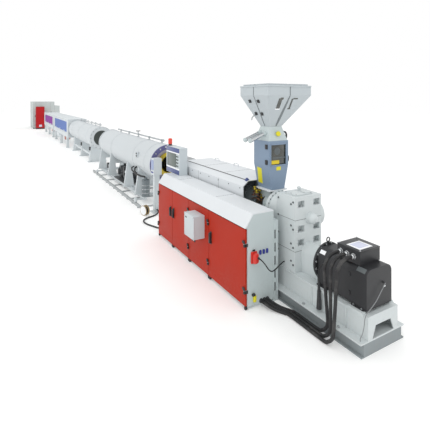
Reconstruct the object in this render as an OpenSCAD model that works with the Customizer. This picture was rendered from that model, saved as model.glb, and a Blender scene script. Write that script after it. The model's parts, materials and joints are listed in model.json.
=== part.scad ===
// Plastic pipe extrusion line, all lengths in millimetres.
// Stations are counted from the rear end of the extruder bed, along the way the pipe travels.
// The pipe axis lies along X at y = 0. Stations grow towards -X, and the doors face -Y.

/* [Line] */
// Height of the pipe axis over the floor
axis_h = 1000; // [950:10:1100]
// Radius of the largest pipe that the line lets through
pipe_r = 190; // [140:5:200]

/* [Extruder bed] */
// Length of the bed and its skid
bed_len = 4000; // [3900:10:4100]
// Half width of the bed's foot flange
flange_half = 333; // [325:1:338]
// Height of the skid under the flange
skid_h = 125; // [100:5:160]
// Thickness of the flange, skid and bed plates
bed_plate = 12; // [8:1:16]
// Half width of the bed box
bed_half = 228; // [220:1:240]
// Height of the bed's top over the floor
bed_top = 367; // [340:1:390]

/* [Drive] */
// Station of the motor's rear face
motor_start = 44; // [20:1:60]
// Station of the motor's front flange
motor_end = 732; // [700:1:760]
// Half width of the motor body
motor_half = 193; // [180:1:205]
// Height of the motor shaft over the bed
motor_axis_up = 225; // [215:1:240]
// Radius of the motor's front flange
motor_flange_r = 218; // [205:1:222]
// Length of the coupling housing
coupling_len = 299; // [260:1:330]
// Radius of the coupling housing
coupling_r = 112; // [100:1:120]
// Length of the gearbox along the line
gearbox_len = 339; // [320:1:360]
// Half width of the gearbox
gearbox_half = 218; // [205:1:226]
// Height of the gearbox top over the pipe axis
gearbox_rise = 273; // [250:1:300]
// Length of the thrust housing in front of the gearbox
bell_len = 230; // [200:1:240]
// Radius of the thrust housing
bell_r = 212; // [190:1:220]

/* [Barrel] */
// Radius of the barrel
barrel_r = 125; // [100:1:135]
// Station of the rear end of the barrel hood
hood_start = 1925; // [1915:1:2000]
// Distance of the hood's front end from the end of the bed
hood_lead = 50; // [40:1:80]
// Half width of the barrel hood
hood_half = 363; // [340:1:370]
// Height of the hood's upper side edge over the pipe axis
hood_shoulder = 249; // [230:1:270]
// Height of the hood's top over the pipe axis
hood_rise = 322; // [300:1:340]
// Length of the barrel past the end of the bed
barrel_out = 150; // [120:1:200]

/* [Die head] */
// Radius of the die head
die_r = 290; // [250:1:310]
// Length of the die head
die_len = 620; // [500:10:650]

/* [Dosing unit] */
// Station of the middle of the dosing unit
dosing_at = 1761; // [1755:1:1770]
// Half length of the dosing housing along the line
dosing_half_x = 163; // [160:1:180]
// Half length of the foot of the dosing housing along the line
dosing_foot_x = 156; // [150:1:158]
// Half width of the foot of the dosing housing
dosing_foot_y = 109; // [100:1:125]
// Half width of the dosing housing
dosing_half_y = 173; // [165:1:185]
// Height of the foot of the dosing housing over the pipe axis
dosing_foot = 232; // [220:1:260]
// Height of the dosing housing
dosing_h = 665; // [600:5:700]
// Length of one hopper along the line
hopper_len = 312; // [290:1:330]
// Width of one hopper across the line
hopper_w = 372; // [350:1:390]
// Height of the upright rim of a hopper
hopper_rim = 130; // [100:5:150]
// Height of the sloping part of a hopper
hopper_cone = 430; // [380:5:460]

/* [Cabinet] */
// Station of the near end of the cabinet
cab_start = 1210; // [1205:1:1230]
// Height of the cabinet over the floor at the doors
cab_front_h = 955; // [900:5:980]
// Height of the cabinet's flat roof
cab_roof_h = 1113; // [1090:1:1113]
// Depth from the doors to the back wall
cab_depth = 416; // [380:1:420]
// Distance of the door faces from the pipe axis
cab_face = 816; // [812:1:830]
// Distance of the cabinet's far end from the end of the bed
cab_lead = 35; // [20:1:60]
// Width of the wide door at the near end
door_wide = 880; // [850:1:900]
// Thickness of a door
door_t = 20; // [16:1:25]
// Free gap between two doors
door_gap = 8; // [8:1:10]
// Thickness of the cabinet sheets
cab_sheet = 12; // [8:1:15]

/* [Vacuum tank] */
// Free run from the die head to the vacuum tank
tank_gap = 680; // [660:10:700]
// Length of the vacuum tank
tank_len = 5060; // [4900:20:5100]
// Outer radius of both tanks
tank_r = 420; // [400:5:430]
// Wall of both tanks
tank_wall = 10; // [8:1:15]
// Gauge of the floor track, rail to rail
track_gauge = 1140; // [1100:10:1160]
// Travel of the tank along its track
tank_travel = 450; // [300:10:460]

/* [Spray tank] */
// Free run from the vacuum tank to the spray tank
spray_gap = 1490; // [1400:10:1600]
// Length of the spray tank
spray_len = 5200; // [5000:20:5260]

/* [Haul-off] */
// Free run from the spray tank to the first haul-off
haul_lead = 100; // [80:10:200]
// Length of one haul-off
haul_len = 5900; // [5600:20:6000]
// Gap between the two haul-offs
haul_gap = 250; // [200:10:400]
// Half width of a haul-off
haul_half = 450; // [430:5:480]
// Height of a haul-off's top over the pipe axis
haul_rise = 480; // [440:5:520]

/* [Saw] */
// Free run from the second haul-off to the saw
saw_gap = 3250; // [3100:10:3400]
// Length of the saw housing
saw_len = 3200; // [3000:20:3300]
// Half width of the saw housing
saw_half = 1060; // [1000:10:1100]
// Height of the saw housing
saw_h = 2315; // [2200:5:2400]

/* [Hidden] */
$fn = 64;

gap_fit = 0.3;
hood_end = bed_len - hood_lead;
barrel_end = bed_len + barrel_out;
die_end = barrel_end + die_len;
tank_start = die_end + tank_gap;
tank_end = tank_start + tank_len;
spray_start = tank_end + spray_gap;
spray_end = spray_start + spray_len;
haul_start = spray_end + haul_lead;
haul_starts = [haul_start, haul_start + haul_len + haul_gap];
saw_start = haul_starts[1] + haul_len + saw_gap;
line_len = saw_start + saw_len;

// X of a station
function at(s) = line_len / 2 - s;

// Box from station s0 to s1, y0 to y1 and z0 to z1
module slab(s0, s1, y0, y1, z0, z1) {
    translate([at(s1), y0, z0])
        cube([s1 - s0, y1 - y0, z1 - z0]);
}

// Cylinder along the line from station s0 to s1
module drum(s0, s1, r, y = 0, z = axis_h) {
    translate([at(s1), y, z])
        rotate([0, 90, 0])
            cylinder(h = s1 - s0, r = r);
}

// Upright cylinder on station s
module pillar(s, y, z0, z1, r) {
    translate([at(s), y, z0])
        cylinder(h = z1 - z0, r = r);
}

// Outline of y and z points pushed along the line from station s0 to s1
module profile(s0, s1, points) {
    translate([at(s1), 0, 0])
        rotate([90, 0, 90])
            linear_extrude(s1 - s0)
                polygon(points);
}

// Extruder skid: two edge beams and cross beams of channel section
skid_web = 12;
skid_web_half = flange_half - 45;
skid_foot_half = flange_half - 8;
skid_foot_in = skid_web_half - 70;
module skid() {
    color("dimgray") {
        for (side = [-1, 1])
            scale([1, side, 1]) {
                slab(0, bed_len, skid_foot_in, skid_foot_half, 0, bed_plate);
                slab(0, bed_len, skid_web_half - skid_web, skid_web_half, bed_plate, skid_h);
            }
        for (s = [0, bed_len / 3, bed_len * 2 / 3, bed_len - skid_web])
            slab(s, s + skid_web, -skid_web_half + skid_web, skid_web_half - skid_web, 0, skid_h);
    }
}

// Bed: foot flange, box walls, top plate and a rear plate with its hand hole
bed_foot = skid_h + bed_plate;
module bed() {
    hole_low = bed_foot + 4;
    hole_high = bed_top - 105;
    color("gainsboro")
        difference() {
            union() {
                slab(0, bed_len, -flange_half, flange_half, skid_h, bed_foot);
                for (side = [-1, 1])
                    scale([1, side, 1])
                        slab(0, bed_len, bed_half - bed_plate, bed_half, bed_foot, bed_top - bed_plate);
                slab(0, bed_len, -bed_half, bed_half, bed_top - bed_plate, bed_top);
                for (s = [0, bed_len / 2, bed_len - bed_plate])
                    slab(s, s + bed_plate, -bed_half, bed_half, bed_foot, bed_top - bed_plate);
            }
            profile(-1, bed_plate + 1, [
                [-bed_half * 0.72, hole_low], [bed_half * 0.72, hole_low],
                [bed_half * 0.5, hole_high], [-bed_half * 0.5, hole_high]]);
        }
}

// Block along the line with a flat foot and rounded upper edges
module rounded_block(s0, s1, half, low, high, round) {
    translate([at(s1), 0, 0])
        rotate([90, 0, 90])
            linear_extrude(s1 - s0) {
                translate([-half, low])
                    square([2 * half, high - low - round]);
                translate([-half + round, low])
                    square([2 * half - 2 * round, high - low]);
                for (side = [-1, 1])
                    translate([side * (half - round), high - round])
                        circle(round);
            }
}

// Motor: rounded body, round flange, rounded fan cowl and feet on the bed
motor_z = bed_top + motor_axis_up;
motor_foot = 26;
cowl_len = 210;
module motor() {
    body_low = bed_top + motor_foot;
    body_high = motor_z + motor_half;
    flange_t = 30;
    color("#2b2c2e") {
        drum(motor_end - flange_t, motor_end, motor_flange_r, 0, motor_z);
        rounded_block(motor_start + cowl_len, motor_end - flange_t, motor_half - 12, body_low, body_high, 110);
        rounded_block(motor_start, motor_start + cowl_len, motor_half, body_low, body_high, 75);
        for (s = [motor_start + 30, motor_end - 190])
            slab(s, s + 150, -motor_half - 12, motor_half + 12, bed_top, body_low);
    }
}

// Terminal box on the motor with three cable glands on its side
box_start = 150;
box_len = 290;
box_half = 153;
box_low = motor_z + motor_half;
box_h = 140;
gland_r = 20;
gland_len = 32;
gland_stations = [225, 305, 385];
gland_z = box_low + 75;
module terminal_box() {
    color("#2f3033") {
        slab(box_start, box_start + box_len, -box_half, box_half, box_low, box_low + box_h);
        for (s = gland_stations)
            translate([at(s), -box_half, gland_z])
                rotate([90, 0, 0])
                    cylinder(h = gland_len, r = gland_r);
    }
}

// Housing round the coupling, between the motor and the gearbox
coupling_end = motor_end + coupling_len;
module coupling_housing() {
    color("whitesmoke") {
        drum(motor_end, coupling_end, coupling_r, 0, motor_z);
        slab(motor_end + 20, coupling_end, -coupling_r, coupling_r, bed_top, motor_z);
    }
}

// Gearbox: cast block with bolt pockets and bearing covers
gearbox_start = coupling_end;
gearbox_end = gearbox_start + gearbox_len;
gearbox_top = axis_h + gearbox_rise;
cover_r = 160;
cover_out = 72;
module gearbox() {
    pocket_d = 60;
    pocket_w = 105;
    pocket_h = 80;
    pocket_rows = [axis_h + 145, axis_h - 155, axis_h - 320];
    cap_r = 70;
    cap_y = 30;
    cap_len = 75;
    color("#d5dcdc") {
        difference() {
            slab(gearbox_start, gearbox_end, -gearbox_half, gearbox_half, bed_top, gearbox_top);
            for (y = [-gearbox_half + 48, gearbox_half - pocket_w - 28], z = pocket_rows)
                slab(gearbox_start - 1, gearbox_start + pocket_d, y, y + pocket_w, z, z + pocket_h);
        }
        drum(gearbox_start - cap_len * 0.5, gearbox_start, cap_r, cap_y);
        translate([at(gearbox_start - cap_len * 0.5), cap_y, axis_h])
            sphere(r = cap_r - 4);
        translate([at((gearbox_start + gearbox_end) / 2), gearbox_half, axis_h - 10])
            rotate([-90, 0, 0]) {
                cylinder(h = cover_out, r = cover_r);
                cylinder(h = cover_out + 40, r = cover_r * 0.48);
            }
    }
}

// Thrust housing: round-topped casting between the gearbox and the barrel
bell_end = gearbox_end + bell_len;
module thrust_housing() {
    color("#dfe4e6") {
        drum(gearbox_end, bell_end, bell_r);
        slab(gearbox_end, bell_end, -bell_r, bell_r, bed_top, axis_h);
    }
}

// Barrel with its heater bands, feed throat, the flange for the dosing unit and the end flange
barrel_flange = 60;
throat_half_y = barrel_r - 30;
band_r = barrel_r + 18;
band_w = 210;
throat_plate = 20;
module barrel() {
    throat_half_x = dosing_foot_x - 40;
    plate_half_x = dosing_foot_x + 2;
    plate_half_y = dosing_foot_y + 43;
    throat_top = axis_h + dosing_foot - throat_plate;
    color("#3d3d3c") {
        drum(bell_end, barrel_end, barrel_r);
        drum(barrel_end - barrel_flange, barrel_end, barrel_r * 1.6);
        slab(dosing_at - throat_half_x, dosing_at + throat_half_x,
            -throat_half_y, throat_half_y, axis_h, throat_top);
        for (s = [hood_start + 20 : band_w + 60 : hood_end - band_w - 40])
            drum(s, s + band_w, band_r);
        slab(dosing_at - plate_half_x, dosing_at + plate_half_x,
            -plate_half_y, plate_half_y, throat_top, throat_top + throat_plate);
    }
}

// Frame under the barrel hood, a closed sheet housing on the bed
frame_half = hood_half - 43;
frame_top = axis_h - 280;
module barrel_frame() {
    color("gainsboro")
        slab(hood_start + 40, hood_end - 40, -frame_half, frame_half, bed_top, frame_top);
}

// Hood over the heated barrel, open at the feed end and closed round the barrel at the front
hood_sheet = 10;
module barrel_hood() {
    hood_edge = hood_half - 90;
    outline = [
        [-hood_half, frame_top], [hood_half, frame_top], [hood_half, axis_h + hood_shoulder],
        [hood_edge, axis_h + hood_rise], [-hood_edge, axis_h + hood_rise],
        [-hood_half, axis_h + hood_shoulder]];
    color("#e4e8ea")
        difference() {
            profile(hood_start, hood_end, outline);
            translate([at(hood_end - hood_sheet), 0, 0])
                rotate([90, 0, 90])
                    linear_extrude(hood_end - hood_start - hood_sheet + 1)
                        offset(delta = -hood_sheet)
                            polygon(outline);
            drum(hood_end - 2 * hood_sheet, hood_end + 1, barrel_r + gap_fit);
        }
}

// Die head bolted to the barrel flange
module die_head() {
    neck = 160;
    color("#b9bcbe")
        translate([at(barrel_end), 0, axis_h])
            rotate([0, -90, 0])
                rotate_extrude()
                    polygon([
                        [0, 0], [barrel_r * 1.6, 0], [barrel_r * 1.6, 50], [barrel_r + 20, 50],
                        [barrel_r + 20, neck], [die_r, neck + 80], [die_r, die_len - 160],
                        [die_r - 40, die_len - 130], [pipe_r + 15, die_len - 40], [pipe_r + 15, die_len],
                        [pipe_r - 30, die_len], [pipe_r - 60, die_len - 60], [0, die_len - 60]]);
}

// Dosing housing: tapered below, with an inspection window on the upstream face
dosing_low = axis_h + dosing_foot;
dosing_high = dosing_low + dosing_h;
module dosing_housing() {
    taper_h = dosing_h * 0.5;
    window_half = dosing_half_y * 0.78;
    color("#8796a3")
        difference() {
            union() {
                translate([at(dosing_at), 0, dosing_low])
                    frustum(dosing_foot_x, dosing_foot_y, dosing_half_x, dosing_half_y, taper_h);
                slab(dosing_at - dosing_half_x, dosing_at + dosing_half_x,
                    -dosing_half_y, dosing_half_y, dosing_low + taper_h, dosing_high);
            }
            slab(dosing_at - dosing_half_x - 1, dosing_at - dosing_half_x + 18,
                -window_half, window_half, dosing_low + taper_h, dosing_high - 46);
        }
}

// Frustum with a rectangular foot and top, its foot centred on the origin
module frustum(x0, y0, x1, y1, h) {
    polyhedron(
        points = [
            [-x0, -y0, 0], [x0, -y0, 0], [x0, y0, 0], [-x0, y0, 0],
            [-x1, -y1, h], [x1, -y1, h], [x1, y1, h], [-x1, y1, h]],
        faces = [
            [0, 1, 2, 3], [7, 6, 5, 4], [0, 4, 5, 1],
            [1, 5, 6, 2], [2, 6, 7, 3], [3, 7, 4, 0]]);
}

// Neck between the dosing housing and the hoppers, with its two slide gate cylinders
neck_h = 190;
neck_half = 105;
hopper_low = dosing_high + neck_h;
module dosing_neck() {
    gate_r = 26;
    gate_len = 370;
    gate_lean = 20;
    color("#c4cfcd") {
        translate([at(dosing_at), 0, dosing_high])
            frustum(dosing_half_x - 8, dosing_half_y - 8, neck_half, neck_half, neck_h);
        for (s = [dosing_at - 50, dosing_at + 65])
            translate([at(s), -60, dosing_high + neck_h * 0.7])
                rotate([90 + gate_lean, 0, 0])
                    cylinder(h = gate_len, r = gate_r);
    }
}

// Four square hoppers that run together on the neck
hopper_gap = 6;
hopper_shift_x = 19;
hopper_shift_y = 60;
lid_inset = 30;
lid_h = 25;
module hoppers() {
    color("#cfd6d9")
        for (sx = [-1, 1], sy = [-1, 1])
            hopper(sx, sy);
}

// One hopper: leaning funnel from its mouth on the neck, upright rim and lid
module hopper(sx, sy) {
    m = (neck_half - hopper_gap) / 2;
    hx = hopper_len / 2;
    hy = hopper_w / 2;
    x0 = at(dosing_at) + sx * (m + hopper_gap / 2);
    y0 = sy * (m + hopper_gap / 2);
    x1 = at(dosing_at) + hopper_shift_x + sx * (hx + hopper_gap / 2);
    y1 = hopper_shift_y + sy * (hy + hopper_gap / 2);
    z0 = hopper_low;
    z1 = hopper_low + hopper_cone;
    polyhedron(
        points = [
            [x0 - m, y0 - m, z0], [x0 + m, y0 - m, z0], [x0 + m, y0 + m, z0], [x0 - m, y0 + m, z0],
            [x1 - hx, y1 - hy, z1], [x1 + hx, y1 - hy, z1], [x1 + hx, y1 + hy, z1], [x1 - hx, y1 + hy, z1]],
        faces = [
            [0, 1, 2, 3], [7, 6, 5, 4], [0, 4, 5, 1],
            [1, 5, 6, 2], [2, 6, 7, 3], [3, 7, 4, 0]]);
    translate([x1 - hx, y1 - hy, z1])
        cube([hopper_len, hopper_w, hopper_rim]);
    translate([x1 - hx + lid_inset, y1 - hy + lid_inset, z1 + hopper_rim])
        cube([hopper_len - 2 * lid_inset, hopper_w - 2 * lid_inset, lid_h]);
}

// Cabinet: door edges from the near end, and the frame that the doors close
door_w = (bed_len - cab_lead - cab_start - door_wide) / 3;
door_edges = [
    cab_start,
    cab_start + door_wide,
    cab_start + door_wide + door_w,
    cab_start + door_wide + 2 * door_w,
    cab_start + door_wide + 3 * door_w];
cab_end = door_edges[4];
cab_back_y = -cab_face + cab_depth;
cab_feet = 30;
door_low = cab_feet + 16;
door_high = cab_front_h - 14;
roof_run = 114;
door_in = -cab_face + door_t;
seal_gap = 6;
module cabinet_tray() {
    color("#c9d1d1") {
        slab(cab_start + cab_sheet, cab_end - cab_sheet, door_in + seal_gap, cab_back_y - cab_sheet,
            cab_feet, cab_feet + cab_sheet);
        slab(cab_start + cab_sheet, cab_end - cab_sheet, cab_back_y - cab_sheet, cab_back_y,
            cab_feet, cab_roof_h - cab_sheet);
        for (s = [for (e = door_edges) min(max(e, cab_start + 60), cab_end - 60)], y = [door_in + 50, cab_back_y - 60])
            pillar(s, y, 0, cab_feet, 22);
    }
}

cab_outline = [
    [door_in + seal_gap, cab_feet], [cab_back_y, cab_feet], [cab_back_y, cab_roof_h - cab_sheet],
    [-cab_face + roof_run, cab_roof_h - cab_sheet], [-cab_face + 10, cab_front_h],
    [door_in + seal_gap, cab_front_h]];
module cabinet_near_end() {
    color("#b4c0c0")
        profile(cab_start, cab_start + cab_sheet, cab_outline);
}

module cabinet_far_end() {
    color("#b4c0c0")
        profile(cab_end - cab_sheet, cab_end, cab_outline);
}

module cabinet_roof() {
    lip = 6;
    color("whitesmoke")
        profile(cab_start, cab_end, [
            [-cab_face - lip, cab_front_h], [-cab_face + 10, cab_front_h],
            [-cab_face + roof_run, cab_roof_h - cab_sheet], [cab_back_y, cab_roof_h - cab_sheet],
            [cab_back_y, cab_roof_h], [-cab_face + roof_run - 8, cab_roof_h]]);
}

// Posts behind the seams, with the fixed knuckles and pins of the hinges
hinge_out = 14;
hinge_y = -cab_face - hinge_out;
knuckle_r = 8;
pin_r = 4;
knuckle_h = 36;
strap_t = 3;
hinge_heights = [door_low + 150, door_high - 200];
hinge_in = 12;
hinge_seams = [cab_start, door_edges[1], door_edges[2], cab_end];
function toward(seam) = seam == cab_end ? -1 : 1;
post_half = 20;
post_d = 40;
module cabinet_posts() {
    post_back = door_in + seal_gap + post_d;
    color("#9aa3a3") {
        for (s = [door_edges[1], door_edges[2], door_edges[3]])
            slab(s - post_half, s + post_half, door_in + seal_gap, post_back, cab_feet + cab_sheet, cab_front_h);
        for (s = [cab_start + cab_sheet + post_half, cab_end - cab_sheet - post_half])
            slab(s - post_half, s + post_half, door_in + seal_gap, post_back, cab_feet + cab_sheet, cab_front_h);
        for (s = hinge_seams, z = hinge_heights)
            fixed_knuckle(s, z);
    }
}

module fixed_knuckle(seam, z) {
    pin = seam + toward(seam) * hinge_in;
    pillar(pin, hinge_y, z, z + knuckle_h, knuckle_r);
    pillar(pin, hinge_y, z + knuckle_h, z + 2 * knuckle_h, pin_r);
    slab(min(pin, seam - toward(seam) * strap_t / 2), max(pin, seam - toward(seam) * strap_t / 2),
        hinge_y - 4, hinge_y + 4, z, z + knuckle_h);
    slab(seam - strap_t / 2, seam + strap_t / 2, hinge_y, door_in + seal_gap, z, z + knuckle_h);
}

// One door from station s0 to s1, hinged at station h, with its handle at the other edge
handle_len = 130;
handle_w = 28;
handle_out = 30;
handle_mid = 520;
module door(s0, s1, h) {
    half_gap = door_gap / 2;
    free = h == s0 ? s1 : s0;
    inward = h == s0 ? -1 : 1;
    grip = free + inward * 45;
    color("#c63a2c") {
        slab(s0 + half_gap, s1 - half_gap, -cab_face, door_in, door_low, door_high);
        slab(min(grip, grip + inward * handle_w), max(grip, grip + inward * handle_w),
            -cab_face - handle_out, -cab_face, handle_mid, handle_mid + handle_len);
        for (z = hinge_heights)
            door_knuckle(h + toward(h) * hinge_in, toward(h), z + knuckle_h);
    }
}

// Knuckle that turns with the door on the fixed pin
module door_knuckle(h, side, z) {
    low = z + gap_fit;
    reach = 34;
    difference() {
        union() {
            pillar(h, hinge_y, low, z + knuckle_h, knuckle_r);
            slab(min(h, h + side * reach), max(h, h + side * reach),
                hinge_y, hinge_y + 5, low, z + knuckle_h);
            slab(min(h + side * 16, h + side * reach), max(h + side * 16, h + side * reach),
                hinge_y, -cab_face, low, z + knuckle_h);
        }
        pillar(h, hinge_y, z - 1, z + knuckle_h + 1, pin_r + gap_fit);
    }
}

module door_near() {
    door(door_edges[0], door_edges[1], door_edges[0]);
}

module door_mid_near() {
    door(door_edges[1], door_edges[2], door_edges[1]);
}

module door_mid_far() {
    door(door_edges[2], door_edges[3], door_edges[2]);
}

module door_far() {
    door(door_edges[3], door_edges[4], door_edges[4]);
}

// Junction box on the third door
module junction_box() {
    start = door_edges[1] + 125;
    color("#d9e1e4")
        slab(start, start + 296, -cab_face - 165, -cab_face, 519, 837);
}

// Control console with its screen face, on the roof
console_len = 590;
console_end = cab_end + 245;
console_front = -560;
console_h = 480;
module console() {
    recess = 10;
    frame = 34;
    start = console_end - console_len;
    color("#dde2e6")
        difference() {
            slab(start, console_end, console_front, cab_back_y - 4, cab_roof_h, cab_roof_h + console_h);
            slab(start + frame, console_end - frame, console_front - 1, console_front + recess,
                cab_roof_h + 120, cab_roof_h + console_h - 110);
        }
}

module beacon() {
    s = console_end - 60;
    y = console_front + 50;
    color("#d8452f") {
        pillar(s, y, cab_roof_h + console_h, cab_roof_h + console_h + 30, 30);
        pillar(s, y, cab_roof_h + console_h + 30, cab_roof_h + console_h + 125, 38);
    }
}

// Slotted cable duct at the cabinet's back corner
duct_w = -flange_half - cab_back_y;
duct_start = cab_start - 5;
duct_top = axis_h - 14;
module cable_duct() {
    y0 = cab_back_y;
    slot = 22;
    color("#d3d9d8")
        difference() {
            slab(duct_start, duct_start + 70, y0, y0 + duct_w, 0, duct_top);
            for (z = [120 : 160 : duct_top - 120])
                slab(duct_start - 1, duct_start + 12, y0 + 10, y0 + 10 + slot, z, z + 110);
        }
}

// Plug and sockets on the cabinet's near end
socket_y = [-600, -555, -510];
plug_y = -700;
plug_z = 600;
plug_len = 75;
plug_r = 40;
module wall_sockets() {
    color("#c8281e") {
        drum(cab_start - plug_len, cab_start, plug_r, plug_y, plug_z);
        for (y = socket_y)
            drum(cab_start - 22, cab_start, 19, y, plug_z + 40);
    }
}

// Floor track of the vacuum tank: two rails and their ties
rail_h = 60;
rail_w = 46;
track_start = tank_start + 300;
track_end = tank_end + 200;
module floor_track() {
    ties = 7;
    tie_w = 60;
    tie_h = 24;
    run = track_end - track_start - tie_w;
    color("#9ea2a3") {
        for (side = [-1, 1])
            slab(track_start, track_end, side * track_gauge / 2 - rail_w / 2, side * track_gauge / 2 + rail_w / 2,
                0, rail_h);
        for (i = [0 : ties - 1])
            slab(track_start + i * run / (ties - 1), track_start + i * run / (ties - 1) + tie_w,
                -track_gauge / 2 + rail_w / 2, track_gauge / 2 - rail_w / 2, 0, tie_h);
    }
}

// Trolley of the vacuum tank: wheels, base beams, legs and saddles
wheel_r = 55;
wheel_w = 40;
trolley_low = rail_h + gap_fit;
beam_low = rail_h + wheel_r - 20;
beam_h = 60;
beam_w = 80;
beam_y = 350;
wheel_stations = [tank_start + 620, tank_end - 420];
leg_stations = [tank_start + 900, tank_start + 1850, tank_end - 1500, tank_end - 260];
leg_w = 90;
leg_spread = 140;
saddle_t = 60;
module tank_trolley() {
    color("#e1e6e8") {
        for (side = [-1, 1]) {
            y0 = side * beam_y;
            slab(tank_start + 560, tank_end - 190, y0 - beam_w / 2, y0 + beam_w / 2, beam_low, beam_low + beam_h);
            for (s = wheel_stations) {
                translate([at(s), side * track_gauge / 2 - wheel_w / 2, trolley_low + wheel_r])
                    rotate([-90, 0, 0])
                        cylinder(h = wheel_w, r = wheel_r);
                translate([at(s), side > 0 ? beam_y : -track_gauge / 2, trolley_low + wheel_r])
                    rotate([-90, 0, 0])
                        cylinder(h = track_gauge / 2 - beam_y, r = 18);
            }
        }
        for (s = leg_stations) {
            saddle(s, saddle_t, beam_low + beam_h);
            slab(s, s + saddle_t, -beam_y, beam_y, beam_low, beam_low + beam_h);
        }
    }
}

// Pair of splayed legs and the saddle plate between them, cut to the tank's shell
saddle_rise = 190;
module saddle(s, t, foot) {
    top = axis_h - tank_r + saddle_rise + 40;
    difference() {
        union() {
            slab(s, s + t, -beam_y, beam_y, axis_h - tank_r - 70, top);
            for (side = [-1, 1])
                profile(s, s + t, [
                    [side * (beam_y - leg_spread), foot], [side * (beam_y + leg_spread), foot],
                    [side * (beam_y + leg_w / 2), top], [side * (beam_y - leg_w / 2), top]]);
        }
        drum(s - 1, s + t + 1, tank_r + gap_fit);
    }
}

// Rolled shell of a tank
module shell(s0, s1) {
    difference() {
        drum(s0, s1, tank_r);
        drum(s0 - 1, s1 + 1, tank_r - tank_wall);
    }
}

end_t = 30;
module tank_shell() {
    color("#d9dedf")
        shell(tank_start + end_t, tank_end - end_t);
}

// Ring plate that closes the end of a tank round the pipe
module end_ring(s0, s1, r, hole_r) {
    difference() {
        drum(s0, s1, r);
        drum(s0 - 1, s1 + 1, hole_r);
    }
}

end_lip = 18;
sleeve_r = pipe_r + 60;
module tank_near_end() {
    color("#59587f")
        end_ring(tank_start, tank_start + end_t, tank_r + end_lip, sleeve_r);
}

module tank_far_end() {
    color("#d9dedf")
        end_ring(tank_end - end_t, tank_end, tank_r + end_lip, pipe_r + 10);
}

// Brass sizing sleeve in the near end plate
module sizing_sleeve() {
    color("#c9a63a")
        difference() {
            union() {
                drum(tank_start - 40, tank_start, sleeve_r + 20);
                drum(tank_start, tank_start + 500, sleeve_r - gap_fit);
            }
            drum(tank_start - 41, tank_start + 501, pipe_r);
        }
}

// Water manifold on the tank with its risers and valve
manifold_y = 120;
manifold_z = axis_h + tank_r + 50;
module tank_pipework() {
    pipe = 20;
    shell_z = axis_h + sqrt(tank_r * tank_r - manifold_y * manifold_y);
    color("#c3c9cb") {
        drum(tank_start + 600, tank_end - 500, pipe, manifold_y, manifold_z);
        for (s = [tank_start + 700 : 900 : tank_end - 600])
            difference() {
                pillar(s, manifold_y, shell_z - 20, manifold_z, pipe * 0.8);
                drum(s - 40, s + 40, tank_r + gap_fit);
            }
        pillar((tank_start + tank_end) / 2, manifold_y, manifold_z, manifold_z + 90, 16);
        pillar((tank_start + tank_end) / 2, manifold_y, manifold_z + 80, manifold_z + 100, 45);
    }
}

// Two vacuum pumps on the trolley's beams, each with its motor in line across the track
pump_r = 165;
pump_pitch = 550;
pump_start = tank_start + tank_len * 0.425;
module pump_set() {
    plate = 20;
    foot = beam_low + beam_h + plate;
    pump_z = foot + 30 + pump_r;
    color("#3a3d3f") {
        slab(pump_start, pump_start + 2 * pump_pitch, -beam_y - beam_w / 2, beam_y + beam_w / 2, foot - plate, foot);
        for (s = [pump_start + pump_pitch * 0.45, pump_start + pump_pitch * 1.45]) {
            translate([at(s), -340, pump_z])
                rotate([-90, 0, 0])
                    rotate_extrude()
                        polygon([
                            [0, 0], [90, 0], [90, 40], [pump_r, 60], [pump_r, 330], [120, 350],
                            [120, 380], [130, 380], [130, 650], [110, 670], [0, 670]]);
            slab(s - 110, s + 110, -250, 300, foot, pump_z - 60);
        }
    }
}

// Water filter vessel under the tank's near end
filter_r = 95;
filter_at = tank_start + 680;
filter_y = -300;
module filter_vessel() {
    top = axis_h - sqrt(tank_r * tank_r - pow(abs(filter_y) - filter_r, 2)) - 30;
    color("#7c8487") {
        pillar(filter_at, filter_y, beam_low + beam_h, top - 60, filter_r);
        pillar(filter_at, filter_y, top - 60, top, filter_r * 0.4);
    }
}

// Operator's pedestal beside the die
pedestal_at = tank_start - 150;
pedestal_y = -350;
module pedestal() {
    color("#e3e6ea") {
        slab(pedestal_at - 90, pedestal_at + 90, pedestal_y - 90, pedestal_y + 90, 820, 1180);
        slab(pedestal_at - 45, pedestal_at + 45, pedestal_y - 60, pedestal_y + 60, 16, 820);
        slab(pedestal_at - 120, pedestal_at + 120, pedestal_y - 110, pedestal_y + 110, 0, 16);
    }
}

// Small cable reel on the floor beside the pedestal
reel_at = tank_start - 220;
reel_y = -600;
reel_r = 105;
module cable_reel() {
    color("#8a7a5e")
        translate([at(reel_at), reel_y, reel_r])
            rotate([90, 0, 20]) {
                cylinder(h = 12, r = reel_r);
                translate([0, 0, 12])
                    cylinder(h = 66, r = reel_r * 0.6);
                translate([0, 0, 78])
                    cylinder(h = 12, r = reel_r);
            }
}

// Stand of the spray tank: foot plates, broad tapered legs cut to the shell, and stretchers
spray_leg = 160;
spray_legs = [spray_start + 700, (spray_start + spray_end - spray_leg) / 2, spray_end - 700];
module spray_stand() {
    foot_half = 310;
    top_half = 240;
    plate = 20;
    top = axis_h - tank_r + saddle_rise;
    color("#dfe4e6") {
        for (s = spray_legs) {
            difference() {
                profile(s, s + spray_leg, [
                    [-foot_half, plate], [foot_half, plate], [top_half, top], [-top_half, top]]);
                drum(s - 1, s + spray_leg + 1, tank_r + gap_fit);
            }
            slab(s - 40, s + spray_leg + 40, -foot_half - 40, foot_half + 40, 0, plate);
        }
        for (side = [-1, 1])
            slab(spray_legs[0], spray_legs[2], side * 220 - 30, side * 220 + 30, 260, 340);
    }
}

module spray_shell() {
    color("#dbe0e1")
        shell(spray_start + end_t, spray_end - end_t);
}

mouth_r = 290;
module spray_near_end() {
    color("#d3d9da")
        end_ring(spray_start, spray_start + end_t, tank_r + end_lip, mouth_r);
}

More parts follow.
